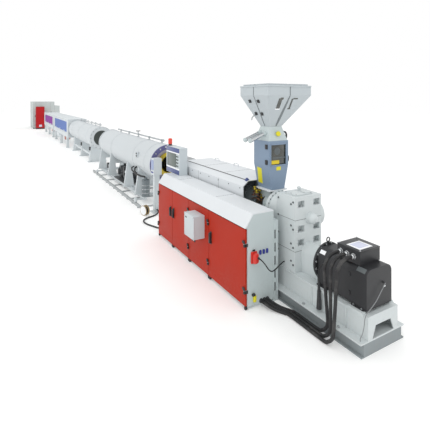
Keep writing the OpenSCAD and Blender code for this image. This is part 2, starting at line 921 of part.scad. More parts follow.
module spray_far_end() {
    color("#d3d9da")
        end_ring(spray_end - end_t, spray_end, tank_r + end_lip, pipe_r + 10);
}

// Haul-off: base on legs, hood on corner posts, tinted guards and two belt tracks
table_low = 560;
table_h = 200;
haul_post = 420;
track_w = 240;
track_h = 190;
track_inset = 500;
haul_low = axis_h + pipe_r + 4 + track_h;
guard_t = 8;
module haul_base(i) {
    s0 = haul_starts[i];
    s1 = s0 + haul_len;
    legs = [s0 + 500, s0 + haul_len / 2 - 100, s1 - 700];
    color("#dce1e4") {
        difference() {
            slab(s0, s1, -haul_half, haul_half, table_low, table_low + table_h);
            slab(s0 + track_inset - 60, s1 - track_inset + 60, -track_w / 2 - 30, track_w / 2 + 30,
                axis_h - pipe_r - 4 - track_h, table_low + table_h + 1);
        }
        for (s = legs, side = [-1, 1]) {
            y0 = side * (haul_half - 80);
            slab(s, s + 200, y0 - 60, y0 + 60, 20, table_low);
            slab(s - 40, s + 240, y0 - 80, y0 + 80, 0, 20);
        }
    }
}

haul_top = axis_h + haul_rise;
module haul_hood(i) {
    s0 = haul_starts[i];
    s1 = s0 + haul_len;
    low = table_low + table_h;
    color("#e9ebf2") {
        slab(s0, s1, -haul_half, haul_half, haul_low, haul_top);
        for (s = [s0, s1 - haul_post], side = [-1, 1])
            slab(s, s + haul_post, side > 0 ? haul_half - 60 : -haul_half, side > 0 ? haul_half : 60 - haul_half,
                low, haul_low);
    }
}

module haul_guards(i) {
    s0 = haul_starts[i] + haul_post;
    s1 = haul_starts[i] + haul_len - haul_post;
    color(i == 0 ? "#7688b8" : "#8d5a9e")
        for (side = [-1, 1])
            slab(s0, s1, side > 0 ? haul_half - 20 - guard_t : 20 - haul_half,
                side > 0 ? haul_half - 20 : 20 - haul_half + guard_t, table_low + table_h, haul_low);
}

// Upper and lower track of one haul-off, each a loop round two drums
module haul_tracks(i) {
    s0 = haul_starts[i] + track_inset;
    s1 = haul_starts[i] + haul_len - track_inset;
    color("#4a4a4c") {
        belt_track(s0, s1, axis_h - pipe_r - 4 - track_h / 2);
        belt_track(s0, s1, axis_h + pipe_r + 4 + track_h / 2);
    }
}

module belt_track(s0, s1, z) {
    r = track_h / 2;
    translate([0, track_w / 2, 0])
        rotate([90, 0, 0])
            linear_extrude(track_w)
                union() {
                    translate([at(s1 - r), z - r])
                        square([s1 - s0 - 2 * r, 2 * r]);
                    for (s = [s0 + r, s1 - r])
                        translate([at(s), z])
                            circle(r);
                }
}

// Saw: tall enclosure with the pipe way through it and a lower wing, and its red control cabinet
saw_end = saw_start + saw_len;
saw_shoulder_y = 636;
saw_wing_h = 1953;
module saw_housing() {
    way = pipe_r + 40;
    feet = 60;
    color("#c5ccce") {
        difference() {
            profile(saw_start, saw_end, [
                [-saw_half, feet], [saw_half, feet], [saw_half, saw_wing_h],
                [saw_shoulder_y, saw_wing_h], [saw_shoulder_y, saw_h], [-saw_half, saw_h]]);
            slab(saw_start - 1, saw_end + 1, -way, way, axis_h - way, axis_h + way);
        }
        for (s = [saw_start + 80, saw_end - 280], y = [-saw_half + 40, saw_half - 240])
            slab(s, s + 200, y, y + 200, 0, feet);
    }
}

saw_cab_start = saw_start - 680;
module saw_cabinet() {
    color("#c4262b")
        slab(saw_cab_start, saw_cab_start + 400, -870, -210, 0, 1894);
}

// Free cables: a tube of eight sides along points of station, y and z
cable_sides = 8;
function unit(v) = v / norm(v);
function square_to(v, t) = unit(v - t * (v * t));
function heading(c, i) = unit(c[min(i + 1, len(c) - 1)] - c[max(i - 1, 0)]);
function first_side(t) = square_to(abs(t[0]) > 0.8 ? [0, 0, 1] : [1, 0, 0], t);
function side_at(c, i) = i == 0 ? first_side(heading(c, 0)) : square_to(side_at(c, i - 1), heading(c, i));
function ring_at(c, i, r) =
    let (t = heading(c, i), u = side_at(c, i), w = cross(t, u))
    [for (k = [0 : cable_sides - 1])
        c[i] + r * (cos(360 * k / cable_sides) * u + sin(360 * k / cable_sides) * w)];
module cable(route, d) {
    n = cable_sides;
    c = [for (p = route) [at(p[0]), p[1], p[2]]];
    last = len(c) - 1;
    polyhedron(
        points = [for (i = [0 : last]) each ring_at(c, i, d / 2)],
        faces = concat(
            [[for (k = [0 : n - 1]) k]],
            [for (i = [0 : last - 1], k = [0 : n - 1])
                [i * n + k, i * n + n + k, i * n + n + (k + 1) % n]],
            [for (i = [0 : last - 1], k = [0 : n - 1])
                [i * n + k, i * n + n + (k + 1) % n, i * n + (k + 1) % n]],
            [[for (k = [n - 1 : -1 : 0]) last * n + k]]));
}

// Motor cables: out of the glands, down beside the bed and along the floor into the cabinet
motor_cable_d = 36;
cable_drop = 406;
cable_lanes = [452, 406, 360];
function motor_route(i) =
    let (g = gland_stations[i], drop = cable_drop, lane = cable_lanes[i])
    [
        [g, -box_half - gland_len, gland_z], [g, 150 - drop, gland_z], [g, 75 - drop, gland_z - 20],
        [g, 20 - drop, gland_z - 75], [g, -drop, gland_z - 150], [g, -(drop + lane) / 2, 400],
        [g, -lane, 170], [g + 20, -lane, 95], [g + 75, -lane, 40], [g + 150, -lane, 19],
        [840, -lane, 19], [920, -lane - 22, 19], [1000, -lane - 72, 26], [1070, -lane - 116, 44],
        [1155, -lane - 140, 60], [cab_start, -lane - 140, 60]];
module motor_cable(i) {
    color("#1d1d1f")
        cable(motor_route(i), motor_cable_d);
}

// Sensor lead that hangs from the motor's side with its plug
sensor_at = 600;
sensor_route = [
    [sensor_at, 12 - motor_half, 640], [sensor_at, -207, 640], [sensor_at, -235, 633],
    [sensor_at, -256, 612], [sensor_at, -263, 584], [sensor_at, -263, 467]];
module sensor_lead() {
    color("#1d1d1f") {
        cable(sensor_route, 12);
        translate([at(sensor_at), -263, 168])
            cylinder(h = 299, r1 = 28, r2 = 12);
    }
}

// Lead from the red plug to the gearbox
plug_route = [
    [cab_start - plug_len, -685, 612], [1105, -685, 612], [1080, -665, 590], [1072, -630, 545],
    [1080, -580, 480], [1100, -520, 435], [1125, -455, 425], [1150, -390, 432],
    [1180, -320, 440], [1206, -268, 440], [1222, -240, 440], [1222, -gearbox_half, 440]];
module plug_lead() {
    color("#1d1d1f")
        cable(plug_route, 14);
}

// Thin lead from the fan cowl over the bed's edge to its foot flange
fan_route = [
    [motor_start, 60, 620], [26, 60, 620], [16, 40, 606], [14, -10, 562], [14, -80, 490],
    [15, -150, 440], [18, -218, 396], [20, -250, 350], [26, -256, 270], [33, -270, 205],
    [40, -290, 165], [40, -290, bed_foot]];
module fan_lead() {
    color("#8a8d8f")
        cable(fan_route, 8);
}

// Cable on the floor from the cabinet to the pedestal, its stations counted from the cabinet's far end
floor_route = [
    [0, -650, 60], [100, -650, 60], [210, -665, 40], [340, -700, 16], [490, -760, 16], [640, -810, 16],
    [790, -820, 16], [920, -770, 16], [1000, -670, 16], [1050, -550, 16], [1100, -440, 24],
    [1160, -375, 44], [1220, -350, 60]];
module floor_cable() {
    foot = pedestal_at - 45;
    color("#1d1d1f")
        cable(concat([for (p = floor_route) [cab_end + p[0], p[1], p[2]]], [[foot, -350, 60]]), 30);
}

skid();
bed();
motor();
terminal_box();
coupling_housing();
gearbox();
thrust_housing();
barrel();
barrel_hood();
barrel_frame();
die_head();
dosing_housing();
dosing_neck();
hoppers();
cabinet_tray();
cabinet_roof();
cabinet_near_end();
cabinet_far_end();
cabinet_posts();
door_far();
door_mid_far();
door_mid_near();
door_near();
junction_box();
console();
beacon();
cable_duct();
wall_sockets();
floor_track();
tank_trolley();
tank_shell();
tank_near_end();
tank_far_end();
sizing_sleeve();
tank_pipework();
pump_set();
filter_vessel();
pedestal();
cable_reel();
spray_stand();
spray_shell();
spray_near_end();
spray_far_end();
haul_base(0);  // haul_base_1
haul_hood(0);  // haul_hood_1
haul_guards(0);  // haul_guards_1
haul_tracks(0);  // haul_tracks_1
haul_base(1);  // haul_base_2
haul_hood(1);  // haul_hood_2
haul_guards(1);  // haul_guards_2
haul_tracks(1);  // haul_tracks_2
saw_housing();
saw_cabinet();
motor_cable(0);  // motor_cable_1
motor_cable(1);  // motor_cable_2
motor_cable(2);  // motor_cable_3
sensor_lead();
plug_lead();
fan_lead();
floor_cable();
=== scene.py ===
# %% [markdown]
# A plastic pipe extrusion line is a row of machines that share one axis: an extruder with its
# cabinet, two cooling tanks, two haul-offs and a saw. The solids come from the CAD frame. This
# lesson dresses them: it adds what is too small for CAD, such as bolts, handles, seams and pads,
# and gives every surface a painted, moulded or metal finish.

# %% Load the frame
import json
import math

import bmesh
import bpy
from mathutils import Matrix, Vector


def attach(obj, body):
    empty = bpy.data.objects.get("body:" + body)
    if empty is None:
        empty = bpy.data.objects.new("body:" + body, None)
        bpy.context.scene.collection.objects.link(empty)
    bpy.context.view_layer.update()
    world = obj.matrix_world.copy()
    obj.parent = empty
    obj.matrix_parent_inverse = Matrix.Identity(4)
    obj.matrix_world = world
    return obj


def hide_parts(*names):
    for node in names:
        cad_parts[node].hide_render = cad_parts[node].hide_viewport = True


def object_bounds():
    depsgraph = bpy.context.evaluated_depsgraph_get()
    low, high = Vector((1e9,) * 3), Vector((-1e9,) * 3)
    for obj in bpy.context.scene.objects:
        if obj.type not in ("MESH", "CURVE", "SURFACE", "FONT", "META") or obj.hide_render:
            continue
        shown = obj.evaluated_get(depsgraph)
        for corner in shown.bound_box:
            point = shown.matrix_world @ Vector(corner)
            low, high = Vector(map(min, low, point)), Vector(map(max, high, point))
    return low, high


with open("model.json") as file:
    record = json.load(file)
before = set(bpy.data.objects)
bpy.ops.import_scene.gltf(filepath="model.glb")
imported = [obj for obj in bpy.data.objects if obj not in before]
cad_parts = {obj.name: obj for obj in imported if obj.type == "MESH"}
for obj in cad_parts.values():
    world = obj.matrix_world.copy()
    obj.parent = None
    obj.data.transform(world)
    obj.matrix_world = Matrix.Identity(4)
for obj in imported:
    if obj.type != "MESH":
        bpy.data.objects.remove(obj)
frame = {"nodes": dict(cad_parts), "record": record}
cad_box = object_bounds()
HALF_LINE = round(cad_box[1][0], 3)
AXIS_Z = 1.0

# %% [markdown]
# Every place along the line is a station: its distance from the rear end of the extruder bed.
# Stations grow towards -X, so one small function turns a station into X. A box between two stations
# is the form that most fittings have. Its edges are rounded a little, because no real edge is
# perfectly sharp and a rounded one catches the light.

# %% Helpers for places and boxes


def at(station):
    """X of a station, in metres."""
    return HALF_LINE - station


def places(route):
    """Places of a route that is given as (station, y, z)."""
    return [(at(s), y, z) for s, y, z in route]


def add_box(bm, s0, s1, y0, y1, z0, z1, bevel=0.0, segments=2):
    """Box between two stations, with all its edges rounded by bevel."""
    made = bmesh.ops.create_cube(bm, size=1.0)["verts"]
    size = Vector((abs(s1 - s0), abs(y1 - y0), abs(z1 - z0)))
    middle = Vector((at((s0 + s1) / 2), (y0 + y1) / 2, (z0 + z1) / 2))
    for v in made:
        v.co = Vector((v.co.x * size.x, v.co.y * size.y, v.co.z * size.z)) + middle
    if bevel:
        edges = list({e for v in made for e in v.link_edges})
        bmesh.ops.bevel(bm, geom=edges, offset=bevel, segments=segments, profile=0.5, affect="EDGES")


print("station 0 lies at x =", at(0))

# %% [markdown]
# Round parts come next. A turned part is a profile spun round an axis, a tube follows a list of
# points, and a ring is a thin torus. Bmesh builds them point by point, which keeps every face under
# control and needs no boolean or modifier.

# %% Helpers for round forms


def turned_frame(axis):
    """Matrix that turns Z onto axis."""
    return Vector(axis).normalized().to_track_quat("Z", "Y").to_matrix().to_4x4()


def add_turned(bm, origin, axis, profile, sides=24):
    """Turned form: profile is a list of (radius, height) from foot to top along axis."""
    place = Matrix.Translation(Vector(origin)) @ turned_frame(axis)
    rings = []
    for radius, height in profile:
        if radius < 1e-6:
            rings.append([bm.verts.new(place @ Vector((0, 0, height)))])
            continue
        ring = []
        for i in range(sides):
            turn = 2 * math.pi * i / sides
            rim_point = Vector((radius * math.cos(turn), radius * math.sin(turn), height))
            ring.append(bm.verts.new(place @ rim_point))
        rings.append(ring)
    for low, high in zip(rings, rings[1:]):
        for i in range(sides):
            j = (i + 1) % sides
            if len(low) == 1:
                bm.faces.new((low[0], high[j], high[i]))
            elif len(high) == 1:
                bm.faces.new((low[i], low[j], high[0]))
            else:
                bm.faces.new((low[i], low[j], high[j], high[i]))
    if len(rings[0]) > 1:
        bm.faces.new(list(reversed(rings[0])))
    if len(rings[-1]) > 1:
        bm.faces.new(rings[-1])


def add_rod(bm, start, end, radius, sides=16, bevel=0.0):
    """Straight rod, with chamfered ends where bevel is given."""
    start, end = Vector(start), Vector(end)
    length = (end - start).length
    rim = min(bevel, length / 2)
    profile = [(radius - rim, 0), (radius, rim), (radius, length - rim), (radius - rim, length)]
    add_turned(bm, start, end - start, profile if rim else [(radius, 0), (radius, length)], sides)


def add_tube(bm, points, radius, sides=10):
    """Tube swept along points, closed at both ends."""
    points = [Vector(p) for p in points]
    rings = []
    side = None
    for i, p in enumerate(points):
        run = (points[min(i + 1, len(points) - 1)] - points[max(i - 1, 0)]).normalized()
        if side is None:
            side = run.orthogonal().normalized()
        side = (side - run * side.dot(run)).normalized()
        other = run.cross(side)
        rings.append([bm.verts.new(p + radius * (math.cos(a) * side + math.sin(a) * other))
                      for a in (2 * math.pi * k / sides for k in range(sides))])
    for low, high in zip(rings, rings[1:]):
        for i in range(sides):
            j = (i + 1) % sides
            bm.faces.new((low[i], low[j], high[j], high[i]))
    bm.faces.new(list(reversed(rings[0])))
    bm.faces.new(rings[-1])


def add_ring(bm, station, radius, y, z, thick, axis=(1, 0, 0), around=32, sides=8):
    """Torus round an axis, such as a clamp band or a lifting eye."""
    place = Matrix.Translation(Vector((at(station), y, z))) @ turned_frame(axis)
    rings = []
    for i in range(around):
        turn = 2 * math.pi * i / around
        out = Vector((math.cos(turn), math.sin(turn), 0))
        up = Vector((0, 0, thick))
        rings.append([bm.verts.new(place @ (out * (radius + thick * math.cos(a)) + up * math.sin(a)))
                      for a in (2 * math.pi * k / sides for k in range(sides))])
    for i in range(around):
        low, high = rings[i], rings[(i + 1) % around]
        for k in range(sides):
            m = (k + 1) % sides
            bm.faces.new((low[k], high[k], high[m], low[m]))


print("round forms:", add_turned.__name__, add_rod.__name__, add_tube.__name__, add_ring.__name__)

# %% [markdown]
# A finished bmesh becomes a piece: an object with its mesh, its material and the body that it rides on.
# Edges that turn by more than 35 degrees stay sharp, and the rest is shaded smooth.

# %% From bmesh to piece
SHARP_ANGLE = math.radians(35)


def make_piece(name, bm, look, body="plant"):
    """Turns a bmesh into a named piece that rides on a body; look is its material and its slot, and the
    slot is not used.
    """
    material, slot = look
    bmesh.ops.recalc_face_normals(bm, faces=bm.faces)
    mesh = bpy.data.meshes.new(name)
    bm.to_mesh(mesh)
    bm.free()
    piece = bpy.data.objects.new(name, mesh)
    bpy.context.scene.collection.objects.link(piece)
    mesh.materials.append(material)
    mesh.shade_smooth()
    mesh.set_sharp_from_angle(angle=SHARP_ANGLE)
    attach(piece, body)
    return piece


print("length of the line:", 2 * HALF_LINE, "m")

# %% [markdown]
# The camera stood about two and a half metres high behind the drive end and looked along the line.
# Its place and lens were solved from the photograph: the axis is taken as one metre high, the line
# runs to a vanishing point near the left edge, and the horizon lies high in the picture. A level
# camera with a lens shift gives that without leaning the uprights.

# %% Camera
IMAGE_SIDE = 430
FOCAL_PIXELS = 367.0
HORIZON_ROW = 100.0
SENSOR = 36.0
CAMERA_PLACE = (HALF_LINE + 2.313, -3.26, 2.455)
CAMERA_TURN = math.radians(30)


def looking(way):
    """Turn of a camera or a lamp that looks along a direction."""
    return Vector(way).to_track_quat("-Z", "Y").to_euler()


camera_data = bpy.data.cameras.new("camera")
camera_data.sensor_width = SENSOR
camera_data.lens = SENSOR * FOCAL_PIXELS / IMAGE_SIDE
camera_data.shift_y = (HORIZON_ROW - IMAGE_SIDE / 2) / IMAGE_SIDE
camera_data.clip_end = 200.0
camera = bpy.data.objects.new("camera", camera_data)
camera.location = CAMERA_PLACE
camera.rotation_euler = looking((-math.cos(CAMERA_TURN), math.sin(CAMERA_TURN), 0))
bpy.context.scene.collection.objects.link(camera)
bpy.context.scene.camera = camera
print("lens", round(camera_data.lens, 2), "mm, shift", round(camera_data.shift_y, 3))

# %% [markdown]
# Soft studio light: a white world fills every side, a lamp above the cabinet's side models the
# extruder, a much larger one lights the rest of the line, and a weak one lifts the far side.

# %% Light and floor


def add_lamp(name, place, aim, side, power):
    """Square area lamp that looks at a point."""
    data = bpy.data.lights.new(name, "AREA")
    data.shape = "SQUARE"
    data.size = side
    data.energy = power
    lamp = bpy.data.objects.new(name, data)
    lamp.location = place
    lamp.rotation_euler = looking(Vector(aim) - Vector(place))
    bpy.context.scene.collection.objects.link(lamp)
    return lamp


world = bpy.data.worlds.new("studio")
world.use_nodes = True
background = world.node_tree.nodes["Background"]
background.inputs["Color"].default_value = (1.0, 1.0, 1.0, 1.0)
background.inputs["Strength"].default_value = 1.0
bpy.context.scene.world = world
bpy.context.scene.view_settings.view_transform = "Standard"
add_lamp("key_lamp", (21.0, -4.5, 8.5), (15.5, 0.2, 0.6), 5.0, 120)
add_lamp("line_lamp", (2.0, -9.0, 12.0), (0.0, 0.0, 0.5), 14.0, 480)
add_lamp("fill_lamp", (15.0, 8.0, 7.0), (15.0, 0.0, 0.8), 6.0, 40)

FLOOR_REACH = 60.0
floor_corners = [(x * FLOOR_REACH, y * FLOOR_REACH, 0) for x, y in ((-1, -1), (1, -1), (1, 1), (-1, 1))]
floor_mesh = bpy.data.meshes.new("studio_floor")
floor_mesh.from_pydata(floor_corners, [], [(0, 1, 2, 3)])
studio_floor = bpy.data.objects.new("studio_floor", floor_mesh)
bpy.context.scene.collection.objects.link(studio_floor)

# %% [markdown]
# Machine paint is never one flat colour. A shader group makes what all painted sheets share: a
# slow mottling of the tone, a fine orange-peel texture, and a film of dust near the floor. It puts
# out a colour, a roughness and a height, and each material places it with its own values. Small
# functions add the nodes, so that a group reads as a short recipe.

# %% Nodes of the shader groups
SURFACE = (("Colour", "NodeSocketColor"), ("Rough", "NodeSocketFloat"), ("Height", "NodeSocketFloat"))


def new_group(name, inputs):
    """Shader group that puts out a surface; each input is (name, socket type, start value)."""
    tree = bpy.data.node_groups.new(name, "ShaderNodeTree")
    for label, kind, value in inputs:
        socket = tree.interface.new_socket(label, in_out="INPUT", socket_type=kind)
        socket.default_value = value
    for label, kind in SURFACE:
        tree.interface.new_socket(label, in_out="OUTPUT", socket_type=kind)
    return tree, tree.nodes.new("NodeGroupInput"), tree.nodes.new("NodeGroupOutput")


def feed(tree, value, socket):
    """Gives an input socket a link from another socket, or a plain number or colour."""
    if isinstance(value, bpy.types.NodeSocket):
        tree.links.new(value, socket)
    else:
        socket.default_value = value


def noise_value(tree, coords, scale, detail, roughness=0.5):
    """Noise on given coordinates."""
    node = tree.nodes.new("ShaderNodeTexNoise")
    for label, value in (("Vector", coords), ("Scale", scale), ("Detail", detail),
                         ("Roughness", roughness)):
        feed(tree, value, node.inputs[label])
    return node.outputs["Fac"]


def remap(tree, source, low, high, to_low, to_high):
    """Source, moved from one range to another and held inside it."""
    node = tree.nodes.new("ShaderNodeMapRange")
    feed(tree, source, node.inputs["Value"])
    for label, value in (("From Min", low), ("From Max", high), ("To Min", to_low), ("To Max", to_high)):
        feed(tree, value, node.inputs[label])
    return node.outputs["Result"]


def math_value(tree, operation, *values):
    """Result of a Math node on sockets or numbers."""
    node = tree.nodes.new("ShaderNodeMath")
    node.operation = operation
    for value, socket in zip(values, node.inputs):
        feed(tree, value, socket)
    return node.outputs[0]


def mix_colour(tree, factor, first, second):
    """Mix of two colours, which are sockets or plain colours."""
    node = tree.nodes.new("ShaderNodeMix")
    node.data_type = "RGBA"
    feed(tree, factor, node.inputs["Factor"])
    colour_inputs = [socket for socket in node.inputs if socket.type == "RGBA"]
    for value, socket in zip((first, second), colour_inputs):
        feed(tree, value, socket)
    return [socket for socket in node.outputs if socket.type == "RGBA"][0]


print("a surface puts out:", [label for label, kind in SURFACE])

# %% [markdown]
# Sprayed paint: the mottling is a slow noise that lifts and lowers the tone. The dust is a second
# noise that fades out with the height over the floor, and it makes the paint paler and duller.

# %% Shader group for paint
DUST_COLOUR = (0.34, 0.32, 0.29, 1)
DUST_TOP = 0.45
DUST_DULL = 0.30


def build_paint_group():
    """Colour, roughness and height of a sprayed sheet."""
    tree, start, end = new_group("sprayed_paint",
                                 [("Colour", "NodeSocketColor", (0.8, 0.8, 0.8, 1)),
                                  ("Rough", "NodeSocketFloat", 0.4), ("Mottle", "NodeSocketFloat", 0.06),
                                  ("Peel", "NodeSocketFloat", 420.0), ("Dust", "NodeSocketFloat", 0.35)])
    coords = tree.nodes.new("ShaderNodeTexCoord").outputs["Object"]
    slow = noise_value(tree, coords, 1.7, 4)
    tone = remap(tree, slow, 0.3, 0.7, -1.0, 1.0)
    amount = math_value(tree, "MULTIPLY", tone, start.outputs["Mottle"])
    mottled = tree.nodes.new("ShaderNodeHueSaturation")
    feed(tree, start.outputs["Colour"], mottled.inputs["Color"])
    feed(tree, math_value(tree, "ADD", amount, 1.0), mottled.inputs["Value"])
    place = tree.nodes.new("ShaderNodeSeparateXYZ")
    feed(tree, coords, place.inputs[0])
    low = remap(tree, place.outputs["Z"], 0.0, DUST_TOP, 1.0, 0.0)
    patchy = remap(tree, noise_value(tree, coords, 26.0, 6, 0.7), 0.42, 0.72, 0.0, 1.0)
    film = math_value(tree, "MULTIPLY", low, patchy)
    dusty = math_value(tree, "MULTIPLY", film, start.outputs["Dust"])
    feed(tree, mix_colour(tree, dusty, mottled.outputs["Color"], DUST_COLOUR), end.inputs["Colour"])
    rough = math_value(tree, "MULTIPLY_ADD", dusty, DUST_DULL, start.outputs["Rough"])
    uneven = remap(tree, slow, 0.3, 0.7, -0.05, 0.07)
    feed(tree, math_value(tree, "ADD", rough, uneven), end.inputs["Rough"])
    feed(tree, noise_value(tree, coords, start.outputs["Peel"], 2), end.inputs["Height"])
    return tree


paint_group = build_paint_group()
print("group", paint_group.name, "nodes:", len(paint_group.nodes))

# %% [markdown]
# Bare metal shows fine lines from the tool that made it, and rubber and cast surfaces show a
# grain. Two more groups make those: stretched noise for brushed metal, and a fine grain with broad
# worn patches for rubber, moulded plastic and boards.

# %% Shader groups for bare metal and grain
STREAK_COLOUR = (0.12, 0.12, 0.12, 1)
STAIN_COLOUR = (0.25, 0.23, 0.2, 1)
WEAR_COLOUR = (0.36, 0.35, 0.33, 1)
WEAR_DULL = 0.25


def build_brushed_group():
    """Streaks along one axis for brushed or turned metal."""
    tree, start, end = new_group("brushed_lines", [
        ("Colour", "NodeSocketColor", (0.6, 0.6, 0.6, 1)), ("Rough", "NodeSocketFloat", 0.3),
        ("Stretch", "NodeSocketVector", (2.0, 160.0, 160.0))])
    coords = tree.nodes.new("ShaderNodeTexCoord").outputs["Object"]
    stretched = tree.nodes.new("ShaderNodeMapping")
    feed(tree, coords, stretched.inputs["Vector"])
    feed(tree, start.outputs["Stretch"], stretched.inputs["Scale"])
    lines = noise_value(tree, stretched.outputs["Vector"], 1.0, 3, 0.6)
    stains = noise_value(tree, coords, 9.0, 5, 0.6)
    streaks = remap(tree, lines, 0.25, 0.75, 0.0, 0.35)
    streaked = mix_colour(tree, streaks, start.outputs["Colour"], STREAK_COLOUR)
    spots = remap(tree, stains, 0.55, 0.8, 0.0, 0.3)
    feed(tree, mix_colour(tree, spots, streaked, STAIN_COLOUR), end.inputs["Colour"])
    uneven = remap(tree, lines, 0.2, 0.8, -0.08, 0.16)
    feed(tree, math_value(tree, "ADD", start.outputs["Rough"], uneven), end.inputs["Rough"])
    feed(tree, lines, end.inputs["Height"])
    return tree


def build_grain_group():
    """Fine grain with worn patches for rubber, moulded plastic and boards."""
    tree, start, end = new_group("moulded_grain", [
        ("Colour", "NodeSocketColor", (0.1, 0.1, 0.1, 1)), ("Rough", "NodeSocketFloat", 0.6),
        ("Grain", "NodeSocketFloat", 300.0), ("Wear", "NodeSocketFloat", 0.2)])
    coords = tree.nodes.new("ShaderNodeTexCoord").outputs["Object"]
    worn = remap(tree, noise_value(tree, coords, 7.0, 5, 0.65), 0.5, 0.75, 0.0, 1.0)
    mask = math_value(tree, "MULTIPLY", worn, start.outputs["Wear"])
    feed(tree, mix_colour(tree, mask, start.outputs["Colour"], WEAR_COLOUR), end.inputs["Colour"])
    rough = math_value(tree, "MULTIPLY_ADD", mask, WEAR_DULL, start.outputs["Rough"])
    feed(tree, rough, end.inputs["Rough"])
    feed(tree, noise_value(tree, coords, start.outputs["Grain"], 2), end.inputs["Height"])
    return tree


brushed_group = build_brushed_group()
grain_group = build_grain_group()
print("groups:", [g.name for g in bpy.data.node_groups])

# %% [markdown]
# A finish is a Principled shader fed by one of the groups. Numbers that are the same all over the
# surface, such as the coat of a gloss paint, sit on the shader's own sockets.

# %% Kinds of finish
COAT_ROUGH = 0.12


def finish_from(name, group, values, bump=0.05, distance=0.0004, metallic=0.0, coat=0.0, specular=0.5):
    """Material with a group for colour, roughness and bump."""
    material = bpy.data.materials.new(name)
    material.use_nodes = True
    tree = material.node_tree
    shader = tree.nodes["Principled BSDF"]
    node = tree.nodes.new("ShaderNodeGroup")
    node.node_tree = group
    for label, value in values.items():
        node.inputs[label].default_value = value
    tree.links.new(node.outputs["Colour"], shader.inputs["Base Color"])
    tree.links.new(node.outputs["Rough"], shader.inputs["Roughness"])
    lift = tree.nodes.new("ShaderNodeBump")
    lift.inputs["Strength"].default_value = bump
    lift.inputs["Distance"].default_value = distance
    tree.links.new(node.outputs["Height"], lift.inputs["Height"])
    tree.links.new(lift.outputs["Normal"], shader.inputs["Normal"])
    for label, value in (("Metallic", metallic), ("Coat Weight", coat), ("Coat Roughness", COAT_ROUGH),
                         ("Specular IOR Level", specular)):
        shader.inputs[label].default_value = value
    return material


def linear(code):
    """Linear colour of a web colour code."""
    parts = [int(code[i:i + 2], 16) / 255 for i in (0, 2, 4)]
    return tuple(c / 12.92 if c <= 0.04045 else ((c + 0.055) / 1.055) ** 2.4 for c in parts) + (1.0,)


def paint(name, code, rough=0.42, mottle=0.05, dust=0.3, coat=0.0, bump=0.05, specular=0.5):
    """Sprayed paint."""
    values = {"Colour": linear(code), "Rough": rough, "Mottle": mottle, "Dust": dust}
    return finish_from(name, paint_group, values, bump, coat=coat, specular=specular)


def metal(name, code, rough=0.3, stretch=(2.0, 160.0, 160.0)):
    """Bare metal with tool lines."""
    values = {"Colour": linear(code), "Rough": rough, "Stretch": stretch}
    return finish_from(name, brushed_group, values, 0.08, 0.0003, metallic=1.0)


def moulded(name, code, rough=0.6, grain=300.0, wear=0.15, bump=0.12, coat=0.0):
    """Rubber, moulded plastic or board."""
    values = {"Colour": linear(code), "Rough": rough, "Grain": grain, "Wear": wear}
    return finish_from(name, grain_group, values, bump, 0.0005, coat=coat)


print("kinds of finish:", paint.__name__, metal.__name__, moulded.__name__)

# %% [markdown]
# Every slot of the record gets one finish, the tinted ones in the next cell. The colours are web
# codes. The numbers after them are roughness, mottling and dust for paint, roughness and stretch
# for metal, and roughness, grain, wear and bump for moulded parts.

# %% Finishes of the slots
finishes = {
    "dark_steel": paint("skid_paint", "868e91", 0.6, 0.12, 0.3),
    "bed_grey": paint("bed_paint", "ccd3d4", 0.45, 0.03, 0.25),
    "charcoal": paint("motor_paint", "26272a", 0.42, 0.10, 0.2, bump=0.12),
    "hood_white": paint("hood_paint", "d8dcdf", 0.5, 0.02, 0.1),
    "die_steel": metal("die_steel_turned", "b4b8ba", 0.35, (140.0, 3.0, 3.0)),
    "dosing_blue_grey": paint("dosing_paint", "7b8ea4", 0.42, 0.04, 0.0),
    "hopper_grey": paint("hopper_paint", "b6bec2", 0.5, 0.03, 0.0),
    # hopper_shade is painted shade: the dark grey of the strips that stand for the shadow in the valleys
    # between the hoppers.
    "hopper_shade": paint("hopper_shade_paint", "767d80", 0.6, 0.03, 0.0),
    "end_grey": paint("end_paint", "bcc7c8", 0.45, 0.03, 0.3),
    "door_red": paint("door_paint", "aa270f", 0.5, 0.05, 0.12, specular=0.2),
    "box_grey": paint("box_paint", "c2cace", 0.45, 0.02, 0.1),
    "beacon_red": moulded("beacon_lens", "e0402c", 0.25, 60.0, 0.0, 0.2, coat=0.6),
    "socket_plastic": moulded("socket_shell", "d0261b", 0.35, 260.0, 0.0, 0.06, coat=0.3),
    "rail_steel": paint("rail_paint", "a8adaf", 0.5, 0.08, 0.4),
    "frame_white": paint("frame_paint", "cad1d4", 0.42, 0.03, 0.35),
    "tank_grey": paint("tank_paint", "c3c9cc", 0.42, 0.02, 0.1),
    "ring_blue": paint("ring_paint", "5a5a86", 0.42, 0.06, 0.0),
    "brass": metal("sleeve_brass", "dcc43c", 0.3, (120.0, 4.0, 4.0)),
    "pipe_steel": metal("pipe_steel_drawn", "c6cccf", 0.32, (2.0, 120.0, 120.0)),
    "pump_dark": paint("pump_paint", "363a3d", 0.5, 0.12, 0.3, bump=0.15),
    "reel_wood": moulded("reel_board", "a08a62", 0.7, 90.0, 0.3),
    "track_rubber": moulded("track_rubber_black", "39393b", 0.75, 220.0, 0.25),
    "saw_grey": paint("saw_paint", "bfc7c6", 0.5, 0.04, 0.3),
    "saw_red": paint("saw_cabinet_paint", "b0141a", 0.45, 0.06, 0.15, specular=0.25),
    "cable_black": moulded("cable_jacket", "1d1d1f", 0.55, 500.0, 0.2),
}
print("finishes:", len(finishes))

# %% [markdown]
# The guards of the haul-offs are tinted sheets that let a little light through. Transmission stays
# one plain value, so only the roughness varies over the pane. The studio floor gets a faint light
# of its own, which keeps it nearly white without stronger lamps.

# %% Tinted guards and the floor


